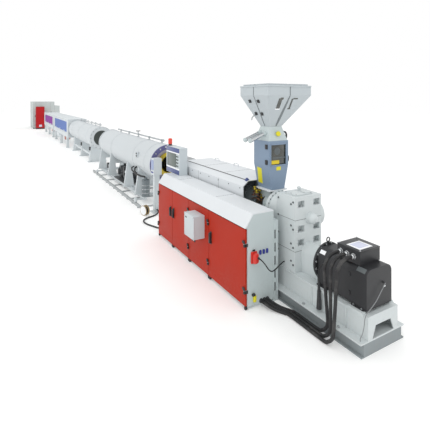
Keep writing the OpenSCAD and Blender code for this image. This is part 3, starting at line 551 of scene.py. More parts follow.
def tinted(name, code):
    """Tinted clear sheet with a slightly uneven polish."""
    material = bpy.data.materials.new(name)
    material.use_nodes = True
    tree = material.node_tree
    shader = tree.nodes["Principled BSDF"]
    for label, value in (("Base Color", linear(code)), ("Transmission Weight", 0.08),
                         ("Specular IOR Level", 0.0), ("IOR", 1.45)):
        shader.inputs[label].default_value = value
    coords = tree.nodes.new("ShaderNodeTexCoord").outputs["Object"]
    smears = noise_value(tree, coords, 6.0, 5, 0.6)
    feed(tree, remap(tree, smears, 0.3, 0.7, 0.35, 0.55), shader.inputs["Roughness"])
    return material


def glow(material, colour, strength):
    """Faint light of a surface's own."""
    shader = material.node_tree.nodes["Principled BSDF"]
    shader.inputs["Emission Color"].default_value = colour
    shader.inputs["Emission Strength"].default_value = strength


finishes["guard_blue"] = tinted("guard_sheet_blue", "7387bd")
finishes["guard_purple"] = tinted("guard_sheet_purple", "93559f")
node_slots = {part["node"]: part["material_slot"] for part in frame["record"]["subparts"]}
for node_name, node_object in frame["nodes"].items():
    node_object.data.materials.clear()
    node_object.data.materials.append(finishes[node_slots[node_name]])
floor_finish = paint("floor_screed", "f4f4f3", 0.75, 0.01, 0.0)
glow(floor_finish, (1.0, 1.0, 1.0, 1.0), 0.14)
floor_mesh.materials.append(floor_finish)
filter_paint = paint("filter_paint", "70797d", 0.4, 0.06, 0.2)
frame["nodes"]["filter_vessel"].data.materials[0] = filter_paint
print("dressed nodes:", len(node_slots))

# %% [markdown]
# Small parts need finishes of their own: dark plastic, plated steel, copper, a dark pane and blank patches
# in yellow, white and blue. A piece's look is a pair: a material and one of the record's slots, though only
# the material is put on the piece.

# %% Finishes of the small parts
dark_plastic = moulded("dark_plastic", "26272a", 0.5, 340.0, 0.1, 0.08)
blue_plastic = moulded("blue_plastic", "24308c", 0.4, 300.0, 0.0, 0.06, coat=0.2)
red_plastic = moulded("red_plastic", "cf2a1e", 0.38, 300.0, 0.0, 0.06, coat=0.25)
plated_steel = metal("plated_steel", "d9dcde", 0.22, (30.0, 90.0, 90.0))
copper_tube = metal("copper_tube", "96694c", 0.42, (60.0, 60.0, 60.0))
white_plate = paint("white_plate", "f1f3f5", 0.35, 0.01, 0.0)
lilac_plate = paint("lilac_plate", "c9cde0", 0.35, 0.03, 0.0)
pale_blue = paint("pale_blue", "94a2c6", 0.35, 0.03, 0.0)
ring_grey = paint("ring_grey", "8d8893", 0.4, 0.04, 0.0)
yellow_patch = paint("yellow_patch", "d9d01c", 0.4, 0.03, 0.0)
band_blue = paint("band_blue", "3f4d84", 0.35, 0.04, 0.0, coat=0.2)
drive_red = paint("drive_red", "b98078", 0.5, 0.08, 0.3)
heater_brown = paint("heater_brown", "4c4137", 0.55, 0.2, 0.0, bump=0.2)
dark_pane = moulded("dark_pane", "2c302a", 0.12, 14.0, 0.25, 0.02, coat=0.8)
screen_pane = moulded("screen_pane", "59645f", 0.3, 9.0, 0.2, 0.02, coat=0.1)
liner_grey_painted_glow = moulded("liner_grey_painted_glow", "6a706e", 0.6, 120.0, 0.2)
# The liner's faint glow is painted light: it stands in for the light that falls into the tank through its
# open end.
glow(liner_grey_painted_glow, linear("6a706e"), 0.35)
seam_dark = moulded("seam_dark", "5b6163", 0.7, 240.0, 0.1)
PLATED = (plated_steel, "pipe_steel")
DARK_FITTING = (dark_plastic, "pump_dark")
CABLE_FITTING = (dark_plastic, "cable_black")
WHITE_PLATE = (white_plate, "hood_white")


def own(slot):
    """Look of a piece in its slot's own finish."""
    return finishes[slot], slot


print("finishes of small parts:", len(bpy.data.materials) - len(finishes))

# %% [markdown]
# Seven cables lie or hang free. Their routes are the ones that the CAD tubes follow, in metres as (station,
# y, z). A Catmull-Rom curve runs smoothly through the points, and the length of each cable is measured. It
# takes the place of its tube.

# %% Cables
ROUTE_STEPS = 5


def smooth_route(route, steps=ROUTE_STEPS):
    """Points on a Catmull-Rom curve through a route of stations."""
    stops = [Vector(place) for place in places(route)]
    padded = [2 * stops[0] - stops[1]] + stops + [2 * stops[-1] - stops[-2]]
    points = []
    for a, b, c, d in zip(padded, padded[1:], padded[2:], padded[3:]):
        for k in range(steps):
            t = k / steps
            points.append(0.5 * (2 * b + (c - a) * t + (2 * a - 5 * b + 4 * c - d) * t ** 2
                                 + (3 * b - a - 3 * c + d) * t ** 3))
    return points + [stops[-1]]


def lay_cable(node, route, diameter, material):
    """Cable along a route that takes the place of its CAD tube."""
    points = smooth_route(route)
    curve = bpy.data.curves.new(node + "_line", "CURVE")
    curve.dimensions = "3D"
    curve.bevel_depth = diameter / 2
    curve.bevel_resolution = 4
    curve.use_fill_caps = True
    spline = curve.splines.new("POLY")
    spline.points.add(len(points) - 1)
    for point, place in zip(spline.points, points):
        point.co = (*place, 1.0)
    curve.materials.append(material)
    cable = bpy.data.objects.new(node + "_jacket", curve)
    bpy.context.scene.collection.objects.link(cable)
    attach(cable, "plant")
    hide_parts(node)
    length = sum((b - a).length for a, b in zip(points, points[1:]))
    return length


print("steps between two points of a route:", ROUTE_STEPS)

# %% [markdown]
# The routes are listed. The three motor cables share one rule: each leaves its gland, hangs down to its own
# lane on the floor and turns into the cabinet. The sensor lead hangs free, so its plug is made with it.

# %% Routes of the cables


def motor_route(gland, lane):
    """From a gland of the terminal box down to its lane on the floor and into the cabinet."""
    drop = CABLE_DROP
    return [(gland, -0.185, 0.86), (gland, 0.15 - drop, 0.86), (gland, 0.075 - drop, 0.84),
            (gland, 0.02 - drop, 0.785), (gland, -drop, 0.71), (gland, -(drop + lane) / 2, 0.4),
            (gland, -lane, 0.17), (gland + 0.02, -lane, 0.095), (gland + 0.075, -lane, 0.04),
            (gland + 0.15, -lane, 0.019), (0.84, -lane, 0.019), (0.92, -lane - 0.022, 0.019),
            (1.0, -lane - 0.072, 0.026), (1.07, -lane - 0.116, 0.044), (1.155, -lane - 0.14, 0.06),
            (1.21, -lane - 0.14, 0.06)]


GLAND_STATIONS = (0.225, 0.305, 0.385)
CABLE_DROP = 0.406
CABLE_LANES = (0.452, 0.406, 0.36)
SENSOR_STATION = 0.6
sensor_route = [(SENSOR_STATION, -0.181, 0.64), (SENSOR_STATION, -0.207, 0.64),
                (SENSOR_STATION, -0.235, 0.633), (SENSOR_STATION, -0.256, 0.612),
                (SENSOR_STATION, -0.263, 0.584), (SENSOR_STATION, -0.263, 0.467),
                (SENSOR_STATION, -0.263, 0.2)]
plug_route = [(1.135, -0.685, 0.612), (1.105, -0.685, 0.612), (1.08, -0.665, 0.59), (1.072, -0.63, 0.545),
              (1.08, -0.58, 0.48), (1.1, -0.52, 0.435), (1.125, -0.455, 0.425), (1.15, -0.39, 0.432),
              (1.18, -0.32, 0.44), (1.206, -0.268, 0.44), (1.222, -0.24, 0.44), (1.222, -0.218, 0.44)]
fan_route = [(0.044, 0.06, 0.62), (0.026, 0.06, 0.62), (0.016, 0.04, 0.606), (0.014, -0.01, 0.562),
             (0.014, -0.08, 0.49), (0.015, -0.15, 0.44), (0.018, -0.218, 0.396), (0.02, -0.25, 0.35),
             (0.026, -0.256, 0.27), (0.033, -0.27, 0.205), (0.04, -0.29, 0.165), (0.04, -0.29, 0.137)]
floor_route = [(3.965, -0.65, 0.06), (4.065, -0.65, 0.06), (4.175, -0.665, 0.04), (4.305, -0.7, 0.016),
               (4.455, -0.76, 0.016), (4.605, -0.81, 0.016), (4.755, -0.82, 0.016), (4.885, -0.77, 0.016),
               (4.965, -0.67, 0.016), (5.015, -0.55, 0.016), (5.065, -0.44, 0.024),
               (5.125, -0.375, 0.044), (5.185, -0.35, 0.06), (5.255, -0.35, 0.06)]
grey_jacket = moulded("grey_jacket", "8a8d8f", 0.5, 500.0, 0.1)

bm = bmesh.new()
add_turned(bm, (at(SENSOR_STATION), -0.263, 0.472), (0, 0, -1),
           [(0.008, 0), (0.0125, 0.012), (0.0165, 0.1), (0.019, 0.104), (0.02, 0.14), (0.026, 0.265),
            (0.0285, 0.29), (0.0285, 0.304), (0.02, 0.305), (0.0, 0.3)], 20)
sensor_plug = make_piece("sensor_plug", bm, CABLE_FITTING)

CABLE_THICK, SENSOR_THICK, PLUG_THICK, FAN_THICK, FLOOR_THICK = 0.036, 0.012, 0.014, 0.008, 0.03
cable_lengths = {}
for count, (gland, lane) in enumerate(zip(GLAND_STATIONS, CABLE_LANES), start=1):
    node = "motor_cable_%d" % count
    cable_lengths[node] = lay_cable(node, motor_route(gland, lane), CABLE_THICK, finishes["cable_black"])
cable_lengths["sensor_lead"] = lay_cable("sensor_lead", sensor_route, SENSOR_THICK,
                                         finishes["cable_black"])
cable_lengths["plug_lead"] = lay_cable("plug_lead", plug_route, PLUG_THICK, finishes["cable_black"])
cable_lengths["fan_lead"] = lay_cable("fan_lead", fan_route, FAN_THICK, grey_jacket)
cable_lengths["floor_cable"] = lay_cable("floor_cable", floor_route, FLOOR_THICK, finishes["cable_black"])
print("cable lengths in metres:", {name: round(length, 2) for name, length in cable_lengths.items()})

# %% [markdown]
# Bolts, track pads and louvre slats repeat by the dozen, so Geometry Nodes makes them. The points
# come from loops and carry the direction that each part faces. One group puts a hexagon head and
# its washer on every point, the other a flat pad of a given size. Realize Instances makes the
# result real, because the export drops instances.

# %% Geometry Nodes for repeats


def group_with_inputs(name, inputs):
    """Geometry node group that starts from points and ends with one realized mesh."""
    tree = bpy.data.node_groups.new(name, "GeometryNodeTree")
    tree.interface.new_socket("Points", in_out="INPUT", socket_type="NodeSocketGeometry")
    for label, kind in inputs:
        tree.interface.new_socket(label, in_out="INPUT", socket_type=kind)
    tree.interface.new_socket("Mesh", in_out="OUTPUT", socket_type="NodeSocketGeometry")
    return tree, tree.nodes.new("NodeGroupInput"), tree.nodes.new("NodeGroupOutput")


def finish_group(tree, start, end, part):
    """Places a part on every point, turned to the point's direction, and gives it the material."""
    facing = tree.nodes.new("GeometryNodeInputNamedAttribute")
    facing.data_type = "FLOAT_VECTOR"
    facing.inputs["Name"].default_value = "facing"
    turn = tree.nodes.new("FunctionNodeAlignRotationToVector")
    turn.axis = "Z"
    tree.links.new(facing.outputs["Attribute"], turn.inputs["Vector"])
    spread = tree.nodes.new("GeometryNodeInstanceOnPoints")
    tree.links.new(start.outputs["Points"], spread.inputs["Points"])
    tree.links.new(part, spread.inputs["Instance"])
    tree.links.new(turn.outputs["Rotation"], spread.inputs["Rotation"])
    real = tree.nodes.new("GeometryNodeRealizeInstances")
    tree.links.new(spread.outputs["Instances"], real.inputs["Geometry"])
    paint_it = tree.nodes.new("GeometryNodeSetMaterial")
    tree.links.new(real.outputs["Geometry"], paint_it.inputs["Geometry"])
    tree.links.new(start.outputs["Material"], paint_it.inputs["Material"])
    tree.links.new(paint_it.outputs["Geometry"], end.inputs["Mesh"])


def raised_cylinder(tree, sides, radius, height, middle):
    """Cylinder with its middle at a height over the point."""
    body = tree.nodes.new("GeometryNodeMeshCylinder")
    body.inputs["Vertices"].default_value = sides
    tree.links.new(radius, body.inputs["Radius"])
    tree.links.new(height, body.inputs["Depth"])
    lift = tree.nodes.new("ShaderNodeCombineXYZ")
    tree.links.new(middle, lift.inputs["Z"])
    place = tree.nodes.new("GeometryNodeTransform")
    tree.links.new(body.outputs["Mesh"], place.inputs["Geometry"])
    tree.links.new(lift.outputs["Vector"], place.inputs["Translation"])
    return place.outputs["Geometry"]


WASHER_WIDE, WASHER_HIGH, HEAD_HIGH, HEAD_MIDDLE = 1.45, 0.3, 0.9, 0.7


def build_bolt_group():
    """Hexagon head on a washer, in shares of the head's radius."""
    tree, start, end = group_with_inputs("bolt_heads",
                                         [("Radius", "NodeSocketFloat"),
                                          ("Material", "NodeSocketMaterial")])
    radius = start.outputs["Radius"]
    wide, washer_high, washer_middle, head_high, head_middle = (
        math_value(tree, "MULTIPLY", radius, share)
        for share in (WASHER_WIDE, WASHER_HIGH, WASHER_HIGH / 2, HEAD_HIGH, HEAD_MIDDLE))
    washer = raised_cylinder(tree, 14, wide, washer_high, washer_middle)
    head = raised_cylinder(tree, 6, radius, head_high, head_middle)
    both = tree.nodes.new("GeometryNodeJoinGeometry")
    tree.links.new(washer, both.inputs["Geometry"])
    tree.links.new(head, both.inputs["Geometry"])
    finish_group(tree, start, end, both.outputs["Geometry"])
    return tree


def build_pad_group():
    """Flat pad of a given size."""
    tree, start, end = group_with_inputs("pad_rows",
                                         [("Size", "NodeSocketVector"),
                                          ("Material", "NodeSocketMaterial")])
    pad = tree.nodes.new("GeometryNodeMeshCube")
    tree.links.new(start.outputs["Size"], pad.inputs["Size"])
    finish_group(tree, start, end, pad.outputs["Mesh"])
    return tree


bolt_group = build_bolt_group()
pad_group = build_pad_group()
print("groups for repeats:", bolt_group.name, pad_group.name)

# %% [markdown]
# A piece of repeats starts as bare points in a mesh. A Geometry Nodes modifier with one of the
# groups turns them into parts. Its inputs are set by the socket's identifier, and new_from_object
# on the evaluated object gives the plain mesh of the piece.

# %% Pieces from repeats


def repeat_piece(name, group, spots, size_label, size, look, body):
    """One mesh of all the parts that a group puts on spots, a list of (place, facing)."""
    material, slot = look
    cloud = bpy.data.meshes.new(name + "_points")
    cloud.from_pydata([tuple(place) for place, _ in spots], [], [])
    facing = cloud.attributes.new("facing", "FLOAT_VECTOR", "POINT")
    for entry, (_, way) in zip(facing.data, spots):
        entry.vector = way
    source = bpy.data.objects.new(name + "_points", cloud)
    bpy.context.scene.collection.objects.link(source)
    modifier = source.modifiers.new("repeat", "NODES")
    modifier.node_group = group
    sockets = {item.name: item.identifier
               for item in group.interface.items_tree if item.in_out == "INPUT"}
    modifier[sockets[size_label]] = size
    modifier[sockets["Material"]] = material
    bpy.context.view_layer.update()
    evaluated = source.evaluated_get(bpy.context.evaluated_depsgraph_get())
    mesh = bpy.data.meshes.new_from_object(evaluated)
    mesh.name = name
    source.modifiers.clear()
    bpy.data.objects.remove(source)
    piece = bpy.data.objects.new(name, mesh)
    bpy.context.scene.collection.objects.link(piece)
    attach(piece, body)
    return piece


def bolt_piece(name, spots, radius, look, body="plant"):
    """Bolt heads of one radius."""
    return repeat_piece(name, bolt_group, spots, "Radius", radius, look, body)


def pad_piece(name, spots, size, look, body="plant"):
    """Pads of one size."""
    return repeat_piece(name, pad_group, spots, "Size", size, look, body)


def bolt_circle(station, radius, count, facing, y=0.0, z=AXIS_Z, start=0.0):
    """Spots on a circle across the line."""
    turns = [start + 2 * math.pi * i / count for i in range(count)]
    return [((at(station), y + radius * math.cos(a), z + radius * math.sin(a)), facing) for a in turns]


def side_circle(station, y, z, radius, count, facing):
    """Spots on a circle that faces the side of the line."""
    turns = [2 * math.pi * i / count for i in range(count)]
    return [((at(station) + radius * math.cos(a), y, z + radius * math.sin(a)), facing) for a in turns]


UPSTREAM = (1, 0, 0)
DOWNSTREAM = (-1, 0, 0)
DOORSIDE = (0, -1, 0)
FARSIDE = (0, 1, 0)
UPWARD = (0, 0, 1)
DOWNWARD = (0, 0, -1)
print("ways of a fitting:", UPSTREAM, DOWNSTREAM, DOORSIDE, FARSIDE, UPWARD, DOWNWARD)

# %% [markdown]
# Two more helpers: a thin plate that lies on any sloping face, for blank patches, sight strips and
# clips, and a flat band round the line, for collars, clamps and weld bands. Short functions make a
# whole piece from a list of plates, boxes, bands or turned forms.

# %% Plates and bands


def add_plate(bm, middle, normal, along, width, height, thick, bevel=0.0):
    """Plate with its back on middle: width runs along, height across, thick along the normal."""
    normal = Vector(normal).normalized()
    along = Vector(along)
    along = (along - normal * along.dot(normal)).normalized()
    across = normal.cross(along)
    turn = Matrix((along, across, normal)).transposed().to_4x4()
    place = Matrix.Translation(Vector(middle) + normal * thick / 2) @ turn
    made = bmesh.ops.create_cube(bm, size=1.0)["verts"]
    for v in made:
        v.co = place @ Vector((v.co.x * width, v.co.y * height, v.co.z * thick))
    if bevel:
        edges = list({e for v in made for e in v.link_edges})
        bmesh.ops.bevel(bm, geom=edges, offset=bevel, segments=2, profile=0.5, affect="EDGES")


def add_band(bm, s0, s1, inner, outer, y=0.0, z=AXIS_Z, sides=64):
    """Flat band round the line from station s0 to s1."""
    rings = []
    for i in range(sides):
        turn = 2 * math.pi * i / sides
        out = Vector((0, math.cos(turn), math.sin(turn)))
        middle = Vector((0, y, z))
        rings.append([bm.verts.new(Vector((at(s), 0, 0)) + middle + out * r)
                      for s, r in ((s0, inner), (s0, outer), (s1, outer), (s1, inner))])
    for i in range(sides):
        low, high = rings[i], rings[(i + 1) % sides]
        for k in range(4):
            bm.faces.new((low[k], high[k], high[(k + 1) % 4], low[(k + 1) % 4]))


def plates_piece(name, plates, look, body="plant"):
    """Piece of several plates, each given by the arguments of add_plate."""
    shape = bmesh.new()
    for plate in plates:
        add_plate(shape, *plate)
    return make_piece(name, shape, look, body)


def boxes_piece(name, boxes, look, bevel=0.003, body="plant"):
    """Piece of several rounded boxes, each (s0, s1, y0, y1, z0, z1)."""
    shape = bmesh.new()
    for corners in boxes:
        add_box(shape, *corners, bevel=bevel)
    return make_piece(name, shape, look, body)


def turned_piece(name, spots, axis, profile, sides, look, body="plant"):
    """Piece of one turned form, set on several spots along an axis."""
    shape = bmesh.new()
    for spot in spots:
        add_turned(shape, spot, axis, profile, sides)
    return make_piece(name, shape, look, body)


def bands_piece(name, bands, look, body="plant"):
    """Piece of several flat bands, each given by the arguments of add_band."""
    shape = bmesh.new()
    for band in bands:
        add_band(shape, *band)
    return make_piece(name, shape, look, body)


def add_bow(shape, station, seat, way, half, corner, reaches, radius):
    """Bow handle along the line on seat, its (y, z): reaches are those of its foot, knee and top."""
    foot, knee, top = reaches
    bends = ((-half, foot), (-half, knee), (corner - half, top), (half - corner, top), (half, knee),
             (half, foot))
    add_tube(shape,
             [Vector((at(station + run), *seat)) + Vector(way) * out for run, out in bends], radius)


print("makers:", [maker.__name__ for maker in (plates_piece, boxes_piece, turned_piece, bands_piece)])

# %% [markdown]
# The motor turns the screw. It gets a lifting eye, a lid on its terminal box with a blank plate,
# plated glands and flange bolts. Turned parts are profiles spun round an axis, because a profile
# of a few points says the same as a modelled part and is easier to change.

# %% Motor
MOTOR_Z = 0.592

bm = bmesh.new()
add_ring(bm, 0.712, 0.024, 0.0, 0.842, 0.006, around=24)
add_turned(bm, (at(0.712), 0, 0.800), UPWARD,
           [(0.016, 0), (0.016, 0.014), (0.009, 0.02), (0.009, 0.024)], 16)
make_piece("motor_lifting_eye", bm, own("charcoal"))
boxes_piece("terminal_lid", [(0.146, 0.444, -0.157, 0.157, 0.912, 0.929)], own("charcoal"), 0.006)
bolt_piece("terminal_lid_screws",
           [((at(s), y, 0.929), UPWARD) for s in (0.162, 0.428) for y in (-0.14, 0.14)], 0.007, PLATED)
plates_piece("terminal_plate",
             [((at(0.265), -0.02, 0.929), UPWARD, (1, 0, 0), 0.17, 0.2, 0.004, 0.0015)], WHITE_PLATE)
plates_piece("terminal_plate_field",
             [((at(0.268), -0.02, 0.933), UPWARD, (1, 0, 0), 0.125, 0.15, 0.001, 0.0004)],
             (lilac_plate, "box_grey"))

turned_piece("terminal_glands", places([(gland, -0.153, 0.86) for gland in GLAND_STATIONS]), DOORSIDE,
             [(0.029, 0), (0.029, 0.012), (0.025, 0.014), (0.026, 0.03), (0.0225, 0.04), (0.019, 0.044)],
             12, PLATED)
bolt_piece("motor_flange_bolts", bolt_circle(0.702, 0.205, 16, UPSTREAM, z=MOTOR_Z, start=math.pi / 16),
           0.009, PLATED)
plates_piece("motor_patches", [
    ((at(0.645), -0.152, 0.746), (0, -0.75, 0.66), (1, 0, 0), 0.075, 0.045, 0.004, 0.0006),
    ((at(0.044), 0.075, 0.575), UPSTREAM, (0, 1, 0), 0.035, 0.014, 0.002, 0.0006)], WHITE_PLATE)
plates_piece("motor_cowl_patch",
             [((at(0.12), -0.1695, 0.7615), (0, -0.707, 0.707), (1, 0, 0), 0.1, 0.05, 0.004, 0.0008)],
             (seam_dark, "charcoal"))
boxes_piece("motor_cowl_clips",
            [(0.235, 0.262, -0.2, -0.188, 0.66, 0.7), (0.235, 0.262, -0.2, -0.188, 0.47, 0.51),
             (0.235, 0.262, 0.188, 0.2, 0.66, 0.7), (0.235, 0.262, 0.188, 0.2, 0.47, 0.51)],
            (dark_plastic, "charcoal"), 0.004)
bolt_piece("motor_foot_bolts",
           [((at(s), y, 0.393), UPWARD) for s in (0.1, 0.2, 0.57, 0.67) for y in (-0.196, 0.196)],
           0.008, PLATED)
bm = bmesh.new()
add_turned(bm, (at(0.044), 0.06, 0.62), UPSTREAM,
           [(0.013, 0), (0.012, 0.006), (0.007, 0.012), (0.006, 0.02)], 14)
add_turned(bm, (at(SENSOR_STATION), -0.181, 0.64), DOORSIDE,
           [(0.014, 0), (0.013, 0.008), (0.009, 0.012), (0.008, 0.022)], 14)
make_piece("lead_boots", bm, CABLE_FITTING)
print("motor dressed")

# %% [markdown]
# The gearbox is a casting in three storeys that are bolted together. It gets the bolts in its
# pockets, dark seams where the storeys meet, a top cover with a breather, and bolts on the bearing
# cover of the far side. A seam is a thin box that stands just proud of the wall: cutting a groove
# would cost a boolean on the CAD mesh and look the same.

# %% Gearbox and thrust housing
GEARBOX_REAR, GEARBOX_FRONT = 1.031, 1.37
GEARBOX_SIDE = 0.218
SEAM_PROUD = 0.0012
pocket_bolts = []
for y in (-0.1175, 0.1375):
    for z in (1.145, 0.845, 0.68):
        pocket_bolts += [((at(GEARBOX_REAR + 0.034), y + shift, z), UPWARD) for shift in (-0.028, 0.028)]
bolt_piece("gearbox_pocket_bolts", pocket_bolts, 0.013, PLATED)
side_bolts = [((at(1.062), -GEARBOX_SIDE, z), DOORSIDE) for z in (1.215, 0.885, 0.665, 0.455)]
side_bolts += [((at(1.1), -GEARBOX_SIDE, z), DOORSIDE) for z in (1.185, 0.925, 0.705, 0.495)]
side_bolts += [((at(1.335), -GEARBOX_SIDE, z), DOORSIDE) for z in (1.215, 1.0, 0.78, 0.56)]
bolt_piece("gearbox_side_bolts", side_bolts, 0.009, (seam_dark, "bed_grey"))
bolt_piece("gearbox_cover_bolts", side_circle(1.2005, 0.29, 0.99, 0.135, 10, FARSIDE), 0.012,
           own("bed_grey"))
SEAM_SIDE = GEARBOX_SIDE + SEAM_PROUD
boxes_piece("gearbox_seams", [
    (GEARBOX_REAR - SEAM_PROUD, GEARBOX_FRONT + SEAM_PROUD, -SEAM_SIDE, SEAM_SIDE, z - 0.002, z + 0.002)
    for z in (0.999, 0.622)], (seam_dark, "bed_grey"), 0.0)
bm = bmesh.new()
add_box(bm, 1.085, 1.3, -0.15, 0.12, 1.273, 1.287, 0.004)
add_box(bm, 1.1, 1.2, 0.02, 0.1, 1.287, 1.297, 0.004)
add_turned(bm, (at(1.25), 0.05, 1.287), UPWARD,
           [(0.022, 0), (0.022, 0.012), (0.016, 0.014), (0.016, 0.024), (0.026, 0.028), (0.026, 0.045),
            (0.012, 0.055), (0, 0.055)], 20)
make_piece("gearbox_top_cover", bm, own("bed_grey"))
bolt_piece("gearbox_top_bolts",
           [((at(s), y, 1.287), UPWARD) for s in (1.097, 1.19, 1.288) for y in (-0.138, 0.108)],
           0.008, PLATED)
bm = bmesh.new()
for s, z, out in ((1.1, 1.13, 0.04), (1.29, 0.86, 0.055), (1.12, 0.78, 0.045), (1.25, 0.62, 0.03)):
    add_turned(bm, (at(s), GEARBOX_SIDE, z), FARSIDE,
               [(0.03, 0), (0.03, 0.01), (0.018, 0.012), (0.018, out * 0.7), (0.024, out * 0.72),
                (0.02, out), (0, out)], 16)
make_piece("gearbox_fittings", bm, own("end_grey"))
bands_piece("thrust_flanges", [(1.555, 1.6, 0.2, 0.226), (1.37, 1.395, 0.2, 0.22)], own("bed_grey"))
bolt_piece("thrust_bolts",
           [((at(1.555), 0.219 * math.cos(a), AXIS_Z + 0.219 * math.sin(a)), UPSTREAM)
            for a in (math.pi * (i + 0.5) / 12 for i in range(12))], 0.006, (seam_dark, "bed_grey"))
print("gearbox dressed, pocket bolts:", len(pocket_bolts))

# %% [markdown]
# The bed under the motor is folded sheet. A rim runs along its top edge and upright ribs stand
# below it, and bolts hold its foot flange to the skid. Rims and ribs are boxes from one loop over
# both sides.

# %% Bed
anchor_spots = [((at(0.3 + 0.5 * i), y, 0.137), UPWARD) for i in range(8) for y in (-0.3, 0.3)]
BED_SIDE, BED_TOP, BED_FOOT = 0.228, 0.367, 0.137
RIM_OUT, RIM_DEEP, RIB_HALF = 0.012, 0.024, 0.006
bed_rims = []
for side in (-1, 1):
    y_low, y_high = sorted((side * (BED_SIDE - 0.002), side * (BED_SIDE + RIM_OUT)))
    bed_rims.append((0.05, 1.2, y_low, y_high, BED_TOP - RIM_DEEP, BED_TOP - 0.001))
    for s in (0.26, 0.74):
        bed_rims.append((s - RIB_HALF, s + RIB_HALF, y_low, y_high, BED_FOOT, BED_TOP - RIM_DEEP))
boxes_piece("bed_rims", bed_rims, own("bed_grey"), 0.002)
bolt_piece("bed_anchor_bolts", anchor_spots, 0.014, PLATED)
MOUNT_ENDS = ((0.06, 0.24), (0.53, 0.705))
boxes_piece("motor_mounts",
            [(near, far, y - 0.03, y + 0.03, 0.362, 0.38) for near, far in MOUNT_ENDS
             for y in (-0.214, 0.214)], own("bed_grey"), 0.004)
print("bed dressed, anchor bolts:", len(anchor_spots))

# %% [markdown]
# Between the gearbox and the hood the feed section lies open: a pale collar, two heater bands with
# clamps, copper tubes with brass fittings, and the pale flange under the dosing unit. Each tube is
# swept along a few points, which is quicker to bend into place than a chain of cylinders.

# %% Feed section
bands_piece("feed_collar", [(1.6, 1.645, 0.12, 0.16), (1.645, 1.765, 0.12, 0.146)], own("end_grey"))
bm = bmesh.new()
add_band(bm, 1.785, 1.835, 0.12, 0.138)
add_band(bm, 1.845, 1.92, 0.12, 0.142)
add_box(bm, 1.86, 1.905, -0.06, -0.02, 0.84, 0.872, 0.004)
make_piece("heater_bands", bm, (heater_brown, "dark_steel"))
bands_piece("heater_clamps", [(s - 0.008, s + 0.008, 0.12, 0.15) for s in (1.775, 1.84)],
            (dark_plastic, "dark_steel"))
boxes_piece("throat_jacket", [(1.645, 1.877, -0.101, 0.101, 1.06, 1.209)], own("end_grey"), 0.01)
boxes_piece("throat_flange", [(1.602, 1.92, -0.156, 0.156, 1.2125, 1.2325)], own("hood_white"), 0.004)

TUBE_STARTS = ((1.80, 0.05, -0.12), (1.83, 0.10, -0.12), (1.85, 0.135, -0.1))
bm = bmesh.new()
for s, rise, y in TUBE_STARTS:
    z = AXIS_Z + rise
    add_tube(bm,
             [(at(s), y, z - 0.02), (at(s), y - 0.03, z), (at(s + 0.008), y - 0.05, z + 0.018),
              (at(s + 0.03), y - 0.06, z + 0.03), (at(s + 0.07), y - 0.062, z + 0.03),
              (at(1.97), y - 0.06, z)], 0.008)
add_tube(bm,
         [(at(1.86), -0.02, 1.14), (at(1.875), -0.05, 1.18), (at(1.9), -0.1, 1.2),
          (at(1.905), -0.17, 1.17), (at(1.91), -0.2, 1.1)], 0.007)
make_piece("cooling_tubes", bm, (copper_tube, "brass"))
bm = bmesh.new()
for s, rise, y in TUBE_STARTS:
    add_turned(bm, (at(s), y + 0.012, AXIS_Z + rise - 0.022), (0, -0.85, 0.5),
               [(0.017, 0), (0.017, 0.014), (0.012, 0.016), (0.012, 0.03), (0.009, 0.034)], 6)
for s, y, z in ((1.86, -0.13, 1.165), (1.885, -0.19, 1.19), (1.84, -0.19, 1.15)):
    add_turned(bm, (at(s), y, z), UPWARD,
               [(0.012, 0), (0.02, 0.008), (0.02, 0.026), (0.012, 0.03), (0.012, 0.04), (0.024, 0.044),
                (0.024, 0.052), (0, 0.054)], 14)
    add_rod(bm, (at(s - 0.03), y, z + 0.018), (at(s + 0.03), y, z + 0.018), 0.011, 12, 0.002)
make_piece("feed_fittings", bm, own("brass"))
print("feed section dressed, cooling tubes:", len(TUBE_STARTS) + 1)

# %% [markdown]
# The barrel hood is a long sheet cover in three panels. A dark slot along its top, seams between
# the panels, screws, a latch and three bow handles give it scale. The screws come from the bolt
# group, in two rows of seven.

# %% Hood
HOOD_TOP = 1.322
boxes_piece("hood_slot", [(1.99, 3.9, -0.281, -0.267, HOOD_TOP - 0.003, HOOD_TOP + 0.003)],
            (dark_plastic, "dark_steel"), 0.001)
bm = bmesh.new()
add_box(bm, 1.935, 1.985, -0.295, -0.245, HOOD_TOP - 0.012, HOOD_TOP + 0.016, 0.006)
add_turned(bm, (at(1.96), -0.27, HOOD_TOP + 0.014), UPWARD,
           [(0.016, 0), (0.02, 0.006), (0.018, 0.016), (0, 0.018)], 16)
make_piece("hood_latch", bm, (band_blue, "ring_blue"))
seam_boxes = []
for s in (2.6, 3.275):
    seam_boxes.append((s - 0.002, s + 0.002, -0.3642, 0.3642, 0.73, 1.247))
    seam_boxes.append((s - 0.002, s + 0.002, -0.272, 0.272, HOOD_TOP - 0.004, HOOD_TOP + 0.0012))
boxes_piece("hood_seams", seam_boxes, (seam_dark, "hood_white"), 0.0)
bolt_piece("hood_screws",
           [((at(2.0 + 0.3 * i), side * 0.363, 1.215), (0, side, 0)) for i in range(7)
            for side in (-1, 1)], 0.006, (seam_dark, "hood_white"))
bm = bmesh.new()
for s in (2.3, 2.95, 3.6):
    add_bow(bm, s, (0.2, HOOD_TOP), UPWARD, 0.07, 0.015, (-0.002, 0.03, 0.045), 0.008)
make_piece("hood_handles", bm, own("hood_white"))
print("hood dressed")

# %% [markdown]
# The dosing unit has a window in its upstream face. A yellow drawer, a bar and a round cover sit on
# its dark pane. Outside there are two blank yellow patches, latches, handles and a knob, and two
# gate cylinders lean at the neck. The patches lie on sloping walls, so each is a plate that is
# turned to the wall's own direction.

